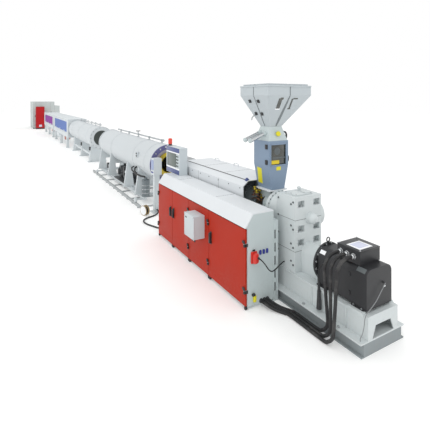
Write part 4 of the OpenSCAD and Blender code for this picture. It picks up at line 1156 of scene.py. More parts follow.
# %% Dosing unit
DOSING = 1.761
FACE = DOSING - 0.163
WINDOW_LOW, WINDOW_HIGH, WINDOW_HALF = 1.5645, 1.851, 0.135
FRAME_BACK, FRAME_FRONT = FACE + 0.004, FACE - 0.006
boxes_piece("dosing_pane",
            [(FACE + 0.010, FACE + 0.0178, -WINDOW_HALF, WINDOW_HALF, WINDOW_LOW + 0.001,
              WINDOW_HIGH - 0.001)], (dark_pane, "pump_dark"), 0.001)
boxes_piece("dosing_frame",
            [(FRAME_FRONT, FRAME_BACK, side * WINDOW_HALF - 0.008, side * WINDOW_HALF + 0.008,
              WINDOW_LOW - 0.01, WINDOW_HIGH + 0.01) for side in (-1, 1)]
            + [(FRAME_FRONT, FRAME_BACK, -WINDOW_HALF, WINDOW_HALF, z - 0.008, z + 0.008)
               for z in (WINDOW_LOW, WINDOW_HIGH)], own("dosing_blue_grey"), 0.002)
boxes_piece("dosing_drawer", [(FACE + 0.006, FACE + 0.011, -0.115, 0.02, 1.58, 1.632)],
            own("brass"), 0.002)
bm = bmesh.new()
add_box(bm, FACE + 0.007, FACE + 0.011, -0.1, 0.12, 1.655, 1.676, 0.002)
add_turned(bm, (at(FACE + 0.011), -0.015, 1.755), UPSTREAM,
           [(0.052, 0), (0.052, 0.003), (0.044, 0.004), (0.02, 0.004), (0.016, 0.006), (0, 0.006)], 24)
make_piece("dosing_mixer", bm, (seam_dark, "pump_dark"))
TAPER_X = math.atan2(0.007, 0.3325)
TAPER_Y = math.atan2(0.064, 0.3325)
plates_piece("dosing_patches",
             [((at(DOSING) + 0.163 - 0.045 * math.tan(TAPER_X), 0.002, WINDOW_LOW - 0.045),
               (math.cos(TAPER_X), 0, -math.sin(TAPER_X)), (0, 1, 0), 0.075, 0.05, 0.002),
              ((at(1.825), -0.173 + 0.16 * math.tan(TAPER_Y), WINDOW_LOW - 0.16),
               (0, -math.cos(TAPER_Y), -math.sin(TAPER_Y)), (1, 0, -0.12), 0.095, 0.225, 0.002)],
             (yellow_patch, "brass"))
latches = [(1.612, 1.657, -0.19, -0.171, z - 0.032, z + 0.032) for z in (1.82, 1.61)]
boxes_piece("dosing_latches", latches, DARK_FITTING, 0.006)
bm = bmesh.new()
for z, y in ((1.635, 0.173), (1.955, 0.14)):
    add_tube(bm,
             [(at(1.65), y - 0.01, z + 0.06), (at(1.65), y + 0.03, z + 0.05),
              (at(1.65), y + 0.045, z + 0.02), (at(1.65), y + 0.045, z - 0.02),
              (at(1.65), y + 0.03, z - 0.05), (at(1.65), y - 0.01, z - 0.06)], 0.013)
make_piece("dosing_handles", bm, DARK_FITTING)
turned_piece("dosing_knob", [(at(DOSING) + 0.128, 0.0, 1.985)], (0.967, 0, 0.254),
             [(0.016, 0), (0.016, 0.02), (0.034, 0.024), (0.034, 0.042), (0.014, 0.048), (0, 0.048)], 20,
             (yellow_patch, "brass"))
GATE_WAY = Vector((0, -0.94, -0.342))
bm = bmesh.new()
caps = bmesh.new()
for s in (DOSING - 0.05, DOSING + 0.065):
    top = Vector((at(s), -0.06, 2.03))
    add_rod(bm, top + GATE_WAY * 0.12, top + GATE_WAY * 0.35, 0.0275, 20, 0.001)
    add_turned(caps, top + GATE_WAY * 0.345, GATE_WAY,
               [(0.031, 0), (0.031, 0.024), (0.022, 0.029), (0, 0.029)], 16)
    add_turned(caps, top + GATE_WAY * 0.125, -GATE_WAY,
               [(0.031, 0), (0.031, 0.022), (0.014, 0.024), (0.014, 0.05)], 16)
make_piece("gate_barrels", bm, PLATED)
make_piece("gate_caps", caps, own("end_grey"))
print("dosing unit dressed")

# %% [markdown]
# Four hoppers share the neck. Each is a leaning funnel with a lip round its rim. The upstream side
# carries dark sight strips and the door side clips. Two small functions give any point on a slope
# and the direction that the slope faces, so that a fitting can be placed by its share of the way up.

# %% Hoppers
HOPPER_LOW, HOPPER_CONE, HOPPER_RIM = 2.087, 0.43, 0.13
RIM_TOP = HOPPER_LOW + HOPPER_CONE + HOPPER_RIM
HALF_GAP, MOUTH = 0.003, 0.0495
LIP_HALF, LIP_BELOW, LIP_ABOVE = 0.006, 0.016, 0.004
HOPPER_X, HOPPER_Y, HOPPER_LEN, HOPPER_W = at(DOSING) + 0.019, 0.06, 0.312, 0.372
lips = []
for sx in (-1, 1):
    for sy in (-1, 1):
        x = HALF_LINE - (HOPPER_X + sx * (HOPPER_LEN / 2 + HALF_GAP))
        y = HOPPER_Y + sy * (HOPPER_W / 2 + HALF_GAP)
        hx, hy = HOPPER_LEN / 2 + 0.002, HOPPER_W / 2 + 0.002
        heights = (RIM_TOP - LIP_BELOW, RIM_TOP + LIP_ABOVE)
        for way in (-1, 1):
            lips.append((x - hx, x + hx, y + way * hy - LIP_HALF, y + way * hy + LIP_HALF, *heights))
            lips.append((x + way * hx - LIP_HALF, x + way * hx + LIP_HALF, y - hy, y + hy, *heights))
boxes_piece("hopper_lips", lips, own("hopper_grey"), 0.003)


def slope_point(sx, sy, share, across, side):
    """Point on a hopper's outer slope: share of the way up, across the face from -1 to 1."""
    rim_x, rim_y = HOPPER_LEN / 2, HOPPER_W / 2
    foot = Vector((at(DOSING) + sx * (MOUTH + HALF_GAP), sy * (MOUTH + HALF_GAP), HOPPER_LOW))
    top = Vector((HOPPER_X + sx * (rim_x + HALF_GAP), HOPPER_Y + sy * (rim_y + HALF_GAP),
                  HOPPER_LOW + HOPPER_CONE))
    middle = foot.lerp(top, share)
    half_x = MOUTH + (rim_x - MOUTH) * share
    half_y = MOUTH + (rim_y - MOUTH) * share
    if side == "upstream":
        return middle + Vector((sx * half_x, across * half_y, 0))
    return middle + Vector((across * half_x, sy * half_y, 0))


def slope_normal(sx, sy, side):
    """Outward direction of a hopper's slope."""
    low = slope_point(sx, sy, 0.2, 0, side)
    high = slope_point(sx, sy, 0.8, 0, side)
    run = (high - low).normalized()
    across = Vector((0, 1, 0)) if side == "upstream" else Vector((1, 0, 0))
    normal = run.cross(across).normalized()
    outward = normal.x * sx if side == "upstream" else normal.y * sy
    return normal if outward > 0 else -normal


up_left = slope_normal(1, -1, "upstream")
up_right = slope_normal(1, 1, "upstream")
side_normal = slope_normal(1, -1, "doorside")
side_far = slope_normal(-1, -1, "doorside")
plates_piece("hopper_sight_strips",
             [(slope_point(1, -1, 0.74, 0.18, "upstream"), up_left, (0, 1, 0.0), 0.058, 0.16, 0.003),
              (slope_point(1, 1, 0.74, -0.5, "upstream"), up_right, (0, 1, 0.0), 0.024, 0.15, 0.003),
              (slope_point(1, 1, 0.9, -0.32, "upstream"), up_right, (0, 1, 0.0), 0.075, 0.018, 0.003),
              (slope_point(1, 1, 0.58, -0.38, "upstream"), up_right, (0, 1, 0.0), 0.045, 0.016, 0.003),
              (slope_point(1, -1, 0.9, 0.35, "upstream"), up_left, (0, 1, 0.0), 0.05, 0.03, 0.003)],
             (dark_pane, "pump_dark"))
plates_piece("hopper_sight_frames", [
    (slope_point(1, -1, 0.575, 0.12, "upstream"), up_left, (0, 1, 0.0), 0.08, 0.016, 0.004)], WHITE_PLATE)
clips = []
for sx, across, normal in ((1, -0.55, side_normal), (-1, 0.1, side_far)):
    for share in (0.82, 0.42):
        clips.append((slope_point(sx, -1, share, across, "doorside"), normal, (1, 0, 0), 0.034, 0.036,
                      0.014, 0.004))
plates_piece("hopper_clips", clips, DARK_FITTING)
bm = bmesh.new()
hook = slope_point(-1, -1, 0.36, -0.6, "doorside")
add_tube(bm, [hook, hook + side_far * 0.03, hook + side_far * 0.055 + Vector((0, 0, -0.012)),
              hook + side_far * 0.06 + Vector((0, 0, -0.045))], 0.008)
make_piece("hopper_hook", bm, own("rail_steel"))
print("hoppers dressed, lip bars:", len(lips))

# %% [markdown]
# Neighbouring funnels leave a valley between them, and shade falls in it. A strip with a width that changes
# up the slope is laid over the gap, on the two sides that face the camera, and two thin bars lie on the
# gaps between the rims; their dark grey is painted shade.

# %% Painted shade in the valleys between the hoppers


def add_valley_shade_strip(shape, side, normal, halves):
    """Dark strip of painted shade over the valley between two hoppers on one side, given by its half widths
    at even steps up the slope.
    """
    upstream = side == "upstream"
    across = Vector((0, 1, 0)) if upstream else Vector((1, 0, 0))
    neighbour = (1, 1) if upstream else (-1, -1)
    way_in = 1 if upstream else -1
    rings = []
    for step, half in enumerate(halves):
        share = 0.02 + 0.97 * step / (len(halves) - 1)
        here = slope_point(1, -1, share, way_in, side)
        there = slope_point(*neighbour, share, -way_in, side)
        middle = here.lerp(there, 0.5)
        corners = ((-half, -0.004), (half, -0.004), (half, 0.003), (-half, 0.003))
        rings.append([shape.verts.new(middle + across * reach + normal * lift)
                      for reach, lift in corners])
    for low, high in zip(rings, rings[1:]):
        for k in range(4):
            shape.faces.new((low[k], low[(k + 1) % 4], high[(k + 1) % 4], high[k]))
    shape.faces.new(rings[0])
    shape.faces.new(rings[-1])


RIM_LOW = HOPPER_LOW + HOPPER_CONE
rim_station = HALF_LINE - (HOPPER_X + HOPPER_LEN + HALF_GAP)
rim_side = HOPPER_Y - HOPPER_W - HALF_GAP
middle_station = HALF_LINE - HOPPER_X
# The strips and the bars on the rim gaps are painted shade: a dark grey sheet where the valleys between the
# hoppers lie in shadow.
bm = bmesh.new()
add_valley_shade_strip(bm, "upstream", up_left, (0.010, 0.021, 0.019, 0.014, 0.007))
add_valley_shade_strip(bm, "doorside", side_normal, (0.008, 0.009, 0.008, 0.007, 0.006))
add_box(bm, rim_station - 0.003, rim_station + 0.004, HOPPER_Y - 0.007, HOPPER_Y + 0.007, RIM_LOW,
        RIM_TOP - LIP_BELOW, bevel=0.001)
add_box(bm, middle_station - 0.006, middle_station + 0.006, rim_side - 0.003, rim_side + 0.004, RIM_LOW,
        RIM_TOP - LIP_BELOW, bevel=0.001)
make_piece("hopper_valley_shade_strips", bm, (finishes["hopper_shade"], "hopper_grey"))
print("valleys laid")

# %% [markdown]
# The cabinet's doors swing, so what sits on a door rides on that door's body: its dark handle and
# its half of the hinges. The fixed halves of the hinges and the foot blocks stay with the plant.
# One loop over the doors makes both halves, because they share the hinge's pin.

# %% Cabinet and doors
CABINET_NEAR, CABINET_FAR = 1.21, 3.965
DOOR_FACE = -0.816
HINGE_Y = -0.83
SEAMS = (1.21, 2.09, 2.715, 3.34, 3.965)
doors = {  # body: (hinge seam, way from the seam into the door, handle's lower station)
    "door_near": (SEAMS[0], 1, 2.017),
    "door_mid_near": (SEAMS[1], 1, 2.642),
    "door_mid_far": (SEAMS[2], 1, 3.267),
    "door_far": (SEAMS[4], -1, 3.385),
}
HINGE_LOWS = (0.196, 0.741)
PIN_IN, KNUCKLE_R = 0.012, 0.0095
fixed_halves = bmesh.new()
for body, (seam, way, handle) in doors.items():
    pin = seam + way * PIN_IN
    turning = bmesh.new()
    for low in HINGE_LOWS:
        add_turned(fixed_halves, (at(pin), HINGE_Y, low - 0.001), UPWARD,
                   [(0.006, -0.004), (KNUCKLE_R, 0), (KNUCKLE_R, 0.0325)], 16)
        add_turned(turning, (at(pin), HINGE_Y, low + 0.0375), UPWARD,
                   [(KNUCKLE_R, 0), (KNUCKLE_R, 0.032), (0.006, 0.036)], 16)
        add_box(fixed_halves, *sorted((pin, seam - way * 0.0065)), HINGE_Y - 0.0052, DOOR_FACE - 0.002,
                low - 0.001, low + 0.0345, 0.001)
        if seam in (SEAMS[0], SEAMS[-1]):
            add_box(fixed_halves, *sorted((seam - way * 0.0002, seam - way * 0.0065)), HINGE_Y, -0.784,
                    low - 0.001, low + 0.0345, 0.001)
        ends = sorted((pin + way * 0.004, pin + way * 0.037))
        add_box(turning, ends[0], ends[1], HINGE_Y - 0.003, DOOR_FACE + 0.0005, low + 0.0375,
                low + 0.0715, 0.003)
    add_box(turning, handle - 0.003, handle + 0.031, DOOR_FACE - 0.033, DOOR_FACE + 0.001, 0.514,
            0.656, 0.007)
    add_box(turning, handle - 0.008, handle + 0.036, DOOR_FACE - 0.006, DOOR_FACE + 0.001, 0.5,
            0.67, 0.003)
    add_turned(turning, (at(handle + 0.014), DOOR_FACE - 0.032, 0.625), DOORSIDE,
               [(0.009, 0), (0.009, 0.004), (0.004, 0.005), (0, 0.003)], 14)
    make_piece(body + "_fittings", turning, DARK_FITTING, body)
make_piece("hinge_fixed_halves", fixed_halves, DARK_FITTING)
boxes_piece("cabinet_foot_blocks",
            [(max(s - 0.03, CABINET_NEAR), min(s + 0.03, CABINET_FAR), -0.818, -0.785, 0.003, 0.04)
             for s in SEAMS], DARK_FITTING, 0.005)
print("door fittings:", list(doors))

# %% [markdown]
# A junction box is screwed to one door. Its lid, screws, glands and a dark blank patch ride on that
# door, because a piece that stayed with the plant would hang in the air when the door swings.

# %% Junction box
JUNCTION_DOOR = "door_mid_near"
boxes_piece("junction_lid", [(2.211, 2.515, -0.988, -0.978, 0.515, 0.841)], own("box_grey"), 0.004,
            body=JUNCTION_DOOR)
boxes_piece("junction_patch", [(2.43, 2.485, -0.9892, -0.9875, 0.772, 0.79)], (seam_dark, "dark_steel"),
            0.0004, body=JUNCTION_DOOR)
bolt_piece("junction_screws",
           [((at(s), -0.988, z), DOORSIDE) for s in (2.225, 2.501) for z in (0.529, 0.827)], 0.006,
           PLATED, JUNCTION_DOOR)
turned_piece("junction_glands", places([(2.33, -0.91, 0.519), (2.40, -0.91, 0.519)]), DOWNWARD,
             [(0.02, 0), (0.02, 0.012), (0.016, 0.014), (0.016, 0.04), (0.011, 0.046), (0.011, 0.075),
              (0, 0.077)], 14, DARK_FITTING, JUNCTION_DOOR)
print("junction box rides on", JUNCTION_DOOR)

# %% [markdown]
# The cabinet's upstream end has a red plug with a soft round body, three blue sockets, a yellow
# earth block and the entries of the motor cables.

# %% Plug, sockets and cable entries
bm = bmesh.new()
add_box(bm, 1.192, 1.211, -0.744, -0.656, 0.53, 0.67, 0.009)
add_box(bm, 1.14, 1.194, -0.738, -0.662, 0.538, 0.662, 0.026, 4)
add_turned(bm, (at(1.142), -0.7, 0.6), UPSTREAM,
           [(0.03, 0), (0.03, 0.004), (0.022, 0.007), (0, 0.007)], 24)
red_plug = make_piece("red_plug", bm, (red_plastic, "socket_plastic"))
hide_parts("wall_sockets")
bm = bmesh.new()
add_turned(bm, (at(1.138), -0.685, 0.612), UPSTREAM,
           [(0.014, 0), (0.014, 0.012), (0.009, 0.02), (0.009, 0.026)], 14)
add_box(bm, 1.198, 1.211, -0.718, -0.682, 0.675, 0.69, 0.003)
make_piece("plug_boot", bm, CABLE_FITTING)
bm = bmesh.new()
for y in (-0.605, -0.555, -0.505):
    add_box(bm, 1.194, 1.211, y - 0.0155, y + 0.0155, 0.612, 0.668, 0.012, 4)
make_piece("blue_sockets", bm, (blue_plastic, "ring_blue"))
boxes_piece("earth_block", [(1.188, 1.211, -0.71, -0.672, 0.075, 0.15)], (yellow_patch, "brass"), 0.005)
boxes_piece("earth_block_cap", [(1.18, 1.211, -0.73, -0.69, 0.15, 0.178)], CABLE_FITTING, 0.006)
bm = bmesh.new()
for lane in CABLE_LANES:
    add_turned(bm, (at(1.211), -lane - 0.14, 0.06), UPSTREAM,
               [(0.027, 0), (0.027, 0.01), (0.022, 0.014), (0.0205, 0.028)], 18)
add_turned(bm, (at(3.964), -0.65, 0.06), DOWNSTREAM,
           [(0.024, 0), (0.024, 0.01), (0.019, 0.014), (0.0175, 0.028)], 18)
make_piece("cable_entries", bm, CABLE_FITTING)
boxes_piece("duct_inside", [(1.2158, 1.2172, -0.3905, -0.3675, 0.12, 0.87)],
            (dark_plastic, "dark_steel"), 0.0)
boxes_piece("roof_seams", [(s - 0.0015, s + 0.0015, -0.705, -0.402, 1.111, 1.1142) for s in (2.09, 3.34)],
            (seam_dark, "hood_white"), 0.0)
print("sockets and cable entries dressed")

# %% [markdown]
# The control console stands on the cabinet's far end. Blue bands and white strips frame a dull
# screen and a plate with eight buttons, and a ribbed red beacon stands on top. The ribs are thin
# rings, because a smooth lens would look like a plain cylinder.

# %% Console and beacon
CONSOLE_NEAR, CONSOLE_FAR = 3.62, 4.21
CONSOLE_FACE, CONSOLE_HIGH = -0.56, 1.593
SCREEN_LOW, SCREEN_HIGH = 1.235, 1.481
BEACON = (4.15, -0.51)


def console_bars(inset, proud, heights):
    """Bars across the console's face, each from a lower to an upper height."""
    return [(CONSOLE_NEAR + inset, CONSOLE_FAR - inset, CONSOLE_FACE - proud, CONSOLE_FACE + 0.002, low,
             high) for low, high in heights]


boxes_piece("console_bands", console_bars(0.012, 0.004, ((1.508, 1.585), (1.12, 1.2))),
            (band_blue, "ring_blue"), 0.0015)
boxes_piece("console_strips", console_bars(0.01, 0.008, ((1.484, 1.506), (1.202, 1.232))),
            WHITE_PLATE, 0.003)
boxes_piece("console_screen",
            [(CONSOLE_NEAR + 0.17, CONSOLE_FAR - 0.036, CONSOLE_FACE + 0.003, CONSOLE_FACE + 0.011,
              SCREEN_LOW, SCREEN_HIGH)], (screen_pane, "ring_blue"), 0.002)
boxes_piece("console_keys_plate",
            [(CONSOLE_NEAR + 0.036, CONSOLE_NEAR + 0.15, CONSOLE_FACE + 0.002, CONSOLE_FACE + 0.011,
              SCREEN_LOW, SCREEN_HIGH)], own("end_grey"), 0.002)
button_places = [(CONSOLE_NEAR + 0.068 + 0.05 * column, CONSOLE_FACE + 0.003, 1.27 + 0.056 * row)
                 for row in range(4) for column in range(2)]
turned_piece("console_buttons", places(button_places), DOORSIDE,
             [(0.014, 0), (0.014, 0.006), (0.01, 0.01), (0, 0.01)], 14, DARK_FITTING)
turned_piece("beacon_foot", places([(*BEACON, CONSOLE_HIGH)]), UPWARD,
             [(0.042, 0), (0.042, 0.01), (0.033, 0.014), (0.033, 0.031)], 24, DARK_FITTING)
bm = bmesh.new()
for k in range(4):
    add_ring(bm, BEACON[0], 0.0385, BEACON[1], 1.64 + 0.02 * k, 0.003, axis=UPWARD, around=24, sides=6)
add_turned(bm, (at(BEACON[0]), BEACON[1], 1.716), UPWARD,
           [(0.039, 0), (0.039, 0.004), (0.02, 0.014), (0, 0.016)], 24)
make_piece("beacon_ribs", bm, own("beacon_red"))
print("console dressed")

# %% [markdown]
# The vacuum tank shows weld bands round its shell, a clamp ring on its near end, bolts on both ends,
# joints on the pipework on top, hoses and small boxes. It rides on its carriage, so all that is on it rides
# there too. A flat band is a four-cornered section that is carried round the axis.

# %% Vacuum tank
TANK_NEAR, TANK_FAR = 5.45, 10.51
SPRAY_NEAR, SPRAY_FAR = 12.0, 17.2
TANK_R, WELD_HALF = 0.42, 0.012


def weld_bands(name, stations, body):
    """Raised weld bands round a tank's shell."""
    bands = [(s - WELD_HALF, s + WELD_HALF, TANK_R - 0.004, TANK_R + 0.005) for s in stations]
    bands_piece(name, bands, own("tank_grey"), body)


weld_bands("tank_weld_bands", (5.94, 6.8, 8.96), "tank_carriage")
bands_piece("tank_clamp_ring", [(TANK_NEAR - 0.006, TANK_NEAR + 0.002, 0.272, 0.335)],
            (ring_grey, "ring_blue"), "tank_carriage")
bolt_piece("tank_end_bolts",
           bolt_circle(TANK_NEAR, 0.395, 18, UPSTREAM) + bolt_circle(TANK_FAR, 0.4, 18, DOWNSTREAM),
           0.013, PLATED, "tank_carriage")
boxes_piece("tank_switch_box", [(6.36, 6.46, -0.438, -0.395, 1.055, 1.185)], own("box_grey"), 0.006,
            body="tank_carriage")
turned_piece("tank_switch_buttons", places([(6.41, -0.437, 1.09), (6.41, -0.437, 1.15)]), DOORSIDE,
             [(0.022, 0), (0.022, 0.008), (0.016, 0.016), (0, 0.017)], 16, DARK_FITTING, "tank_carriage")
bm = bmesh.new()
for s in (6.15, 7.05, 7.95, 8.85, 9.75):
    add_band(bm, s - 0.03, s + 0.03, 0.016, 0.028, 0.12, 1.47, 20)
    add_turned(bm, (at(s), 0.12, 1.404), UPWARD, [(0.034, 0), (0.034, 0.012), (0.018, 0.014)], 18)
for s in (6.05, 10.01):
    add_turned(bm, (at(s), 0.12, 1.47), UPSTREAM if s < 7 else DOWNSTREAM,
               [(0.03, -0.01), (0.03, 0.01), (0.02, 0.014), (0, 0.014)], 18)
make_piece("manifold_joints", bm, own("pipe_steel"), "tank_carriage")
bm = bmesh.new()
wheel = Vector((at(7.98), 0.12, 1.562))
add_ring(bm, 7.98, 0.06, wheel.y, wheel.z, 0.009, axis=UPWARD, around=28)
for turn in range(3):
    a = math.pi * turn / 3
    spoke = Vector((0.058 * math.cos(a), 0.058 * math.sin(a), 0))
    add_rod(bm, wheel - spoke, wheel + spoke, 0.006, 8)
make_piece("manifold_handwheel", bm, DARK_FITTING, "tank_carriage")
bm = bmesh.new()
add_tube(bm, places([
    (6.62, -0.36, 0.79), (6.6, -0.42, 0.76), (6.5, -0.455, 0.71), (6.36, -0.45, 0.66), (6.22, -0.4, 0.63),
    (6.13, -0.33, 0.62), (6.13, -0.3, 0.56)]), 0.022, 12)
add_tube(bm, places([
    (6.95, -0.33, 0.745), (6.92, -0.4, 0.72), (6.8, -0.43, 0.68), (6.62, -0.4, 0.62), (6.45, -0.36, 0.5),
    (6.42, -0.36, 0.3), (6.42, -0.36, 0.15)]), 0.018, 12)
make_piece("tank_hoses", bm, own("cable_black"), "tank_carriage")
LEG_STATIONS = (6.35, 7.3, 9.01, 10.25)
boxes_piece("trolley_leg_plates", [(s - 0.02, s + 0.08, -0.5, -0.2, 0.153, 0.171) for s in LEG_STATIONS],
            own("frame_white"), body="tank_carriage")
boxes_piece("trolley_boxes",
            [(7.44, 7.56, -0.452, -0.38, 0.42, 0.66), (9.2, 9.32, -0.452, -0.38, 0.34, 0.5)],
            DARK_FITTING, 0.008, body="tank_carriage")
boxes_piece("trolley_box_arms",
            [(7.355, 7.45, -0.43, -0.39, 0.5, 0.56), (9.065, 9.21, -0.43, -0.39, 0.4, 0.46)],
            own("frame_white"), 0.004, body="tank_carriage")
print("vacuum tank dressed")

# %% [markdown]
# Two pumps stand on the carriage under the tank. Their motors have fins on all but the lowest part,
# which the pad group sets on an arc, and their covers carry ten bolts each. Clips hold the rails to
# the floor: those stay with the plant while the tank moves.

# %% Pumps and rails
PUMP_NEAR = TANK_NEAR + (TANK_FAR - TANK_NEAR) * 0.425
PUMP_STATIONS = (PUMP_NEAR + 0.2475, PUMP_NEAR + 0.7975)
PUMP_Z = 0.37
FIN_LOW = 0.31
pump_fins = []
pump_bolts = []
for s in PUMP_STATIONS:
    for k in range(18):
        a = 2 * math.pi * k / 18
        pump_fins.append(((at(s) + 0.132 * math.cos(a), 0.175, PUMP_Z + 0.132 * math.sin(a)),
                          (math.cos(a), 0, math.sin(a))))
    pump_bolts += side_circle(s, -0.29, PUMP_Z, 0.135, 10, DOORSIDE)
pump_fins = [spot for spot in pump_fins if spot[0][2] > FIN_LOW]
pad_piece("pump_fins", pump_fins, (0.006, 0.25, 0.02), own("pump_dark"), "tank_carriage")
bolt_piece("pump_cover_bolts", pump_bolts, 0.01, PLATED, "tank_carriage")
bm = bmesh.new()
for s in PUMP_STATIONS:
    add_box(bm, s - 0.07, s + 0.07, 0.09, 0.25, PUMP_Z + 0.11, PUMP_Z + 0.175, 0.01)
    add_turned(bm, (at(s), -0.15, PUMP_Z + 0.15), UPWARD,
               [(0.036, 0), (0.036, 0.045), (0.052, 0.047), (0.052, 0.06), (0.03, 0.062), (0, 0.062)], 20)
    add_turned(bm, (at(s), -0.34, PUMP_Z), DOORSIDE,
               [(0.075, -0.004), (0.075, 0.004), (0.05, 0.008), (0.02, 0.008), (0, 0.004)], 24)
make_piece("pump_boxes", bm, own("pump_dark"), "tank_carriage")
bm = bmesh.new()
for z in (0.24, 0.33, 0.42):
    add_ring(bm, 6.13, 0.095, -0.3, z, 0.006, axis=UPWARD, around=36, sides=6)
make_piece("filter_bands", bm, PLATED, "tank_carriage")
rail_clips = [((at(5.8 + 0.42 * i), side * 0.57 + lean * 0.034, 0.006), UPWARD) for i in range(12)
              for side in (-1, 1) for lean in (-1, 1)]
pad_piece("rail_clips", rail_clips, (0.06, 0.03, 0.012), own("rail_steel"))
print("pumps dressed, fins:", len(pump_fins))

# %% [markdown]
# The spray tank stands still. Its near end is open, so a thin grey liner shows inside, and its faint glow
# is painted light for the light that falls in through the opening. A pipe with six branches runs along its
# top.

# %% Spray tank
weld_bands("spray_weld_bands", (12.9, 14.6, 16.3), "plant")
bands_piece("spray_liner", [(SPRAY_NEAR + 0.032, SPRAY_FAR - 0.032, 0.404, 0.4085)],
            (liner_grey_painted_glow, "pump_dark"))
bolt_piece("spray_end_bolts",
           bolt_circle(SPRAY_NEAR, 0.4, 18, UPSTREAM) + bolt_circle(SPRAY_FAR, 0.4, 18, DOWNSTREAM),
           0.012, PLATED)
bm = bmesh.new()
add_rod(bm, (at(12.4), 0.08, 1.475), (at(16.8), 0.08, 1.475), 0.022, 16, 0.003)
for i in range(6):
    s = 12.6 + 0.8 * i
    add_rod(bm, (at(s), 0.08, 1.4), (at(s), 0.08, 1.475), 0.017, 12)
    add_turned(bm, (at(s), 0.08, 1.495), UPWARD,
               [(0.02, 0), (0.014, 0.012), (0.014, 0.03), (0.036, 0.034), (0.036, 0.046), (0, 0.048)], 14)
make_piece("spray_pipework", bm, own("pipe_steel"))
boxes_piece("spray_boxes",
            [(12.72, 12.84, -0.305, -0.255, 0.46, 0.6), (14.54, 14.66, -0.305, -0.255, 0.46, 0.6)],
            DARK_FITTING, 0.008)
print("spray tank dressed")

# %% [markdown]
# A small control pedestal and a cable reel stand between the extruder and the tank. The reel stands
# at an angle to the line, so its windings are rings about a turned axis.

# %% Pedestal and reel
boxes_piece("pedestal_panel", [(5.228, 5.372, -0.4445, -0.4395, 0.93, 1.15)],
            (pale_blue, "ring_blue"), 0.002)
turned_piece("pedestal_buttons", places([(s, -0.44, 0.88) for s in (5.26, 5.3, 5.34)]), DOORSIDE,
             [(0.014, 0), (0.014, 0.008), (0.01, 0.014), (0, 0.014)], 14, (blue_plastic, "ring_blue"))
REEL_TURN = math.radians(20)
REEL_WAY = Vector((math.sin(REEL_TURN), -math.cos(REEL_TURN), 0))
reel_centre = Vector((at(5.23), -0.6, 0.105))
bm = bmesh.new()
for k in range(6):
    middle = reel_centre + REEL_WAY * (0.019 + 0.0104 * k)
    add_ring(bm, HALF_LINE - middle.x, 0.066 + 0.004 * (k % 2), middle.y, middle.z, 0.0056, axis=REEL_WAY,
             around=30, sides=6)
make_piece("reel_windings", bm, own("cable_black"))
turned_piece("reel_face", [reel_centre + REEL_WAY * 0.089], REEL_WAY,
             [(0.094, 0), (0.094, 0.002), (0.086, 0.004), (0.03, 0.004), (0.026, 0.008), (0.014, 0.008),
              (0.012, 0.003), (0, 0.003)], 32, (white_plate, "reel_wood"))
print("pedestal and reel dressed")

# %% [markdown]
# A haul-off grips and pulls with two rubber tracks. Each shows a pale frame round its tinted guards,
# bow grips, rubber pads on the tracks behind them and a gear motor under the table. Both are the
# same machine, so one loop dresses them.

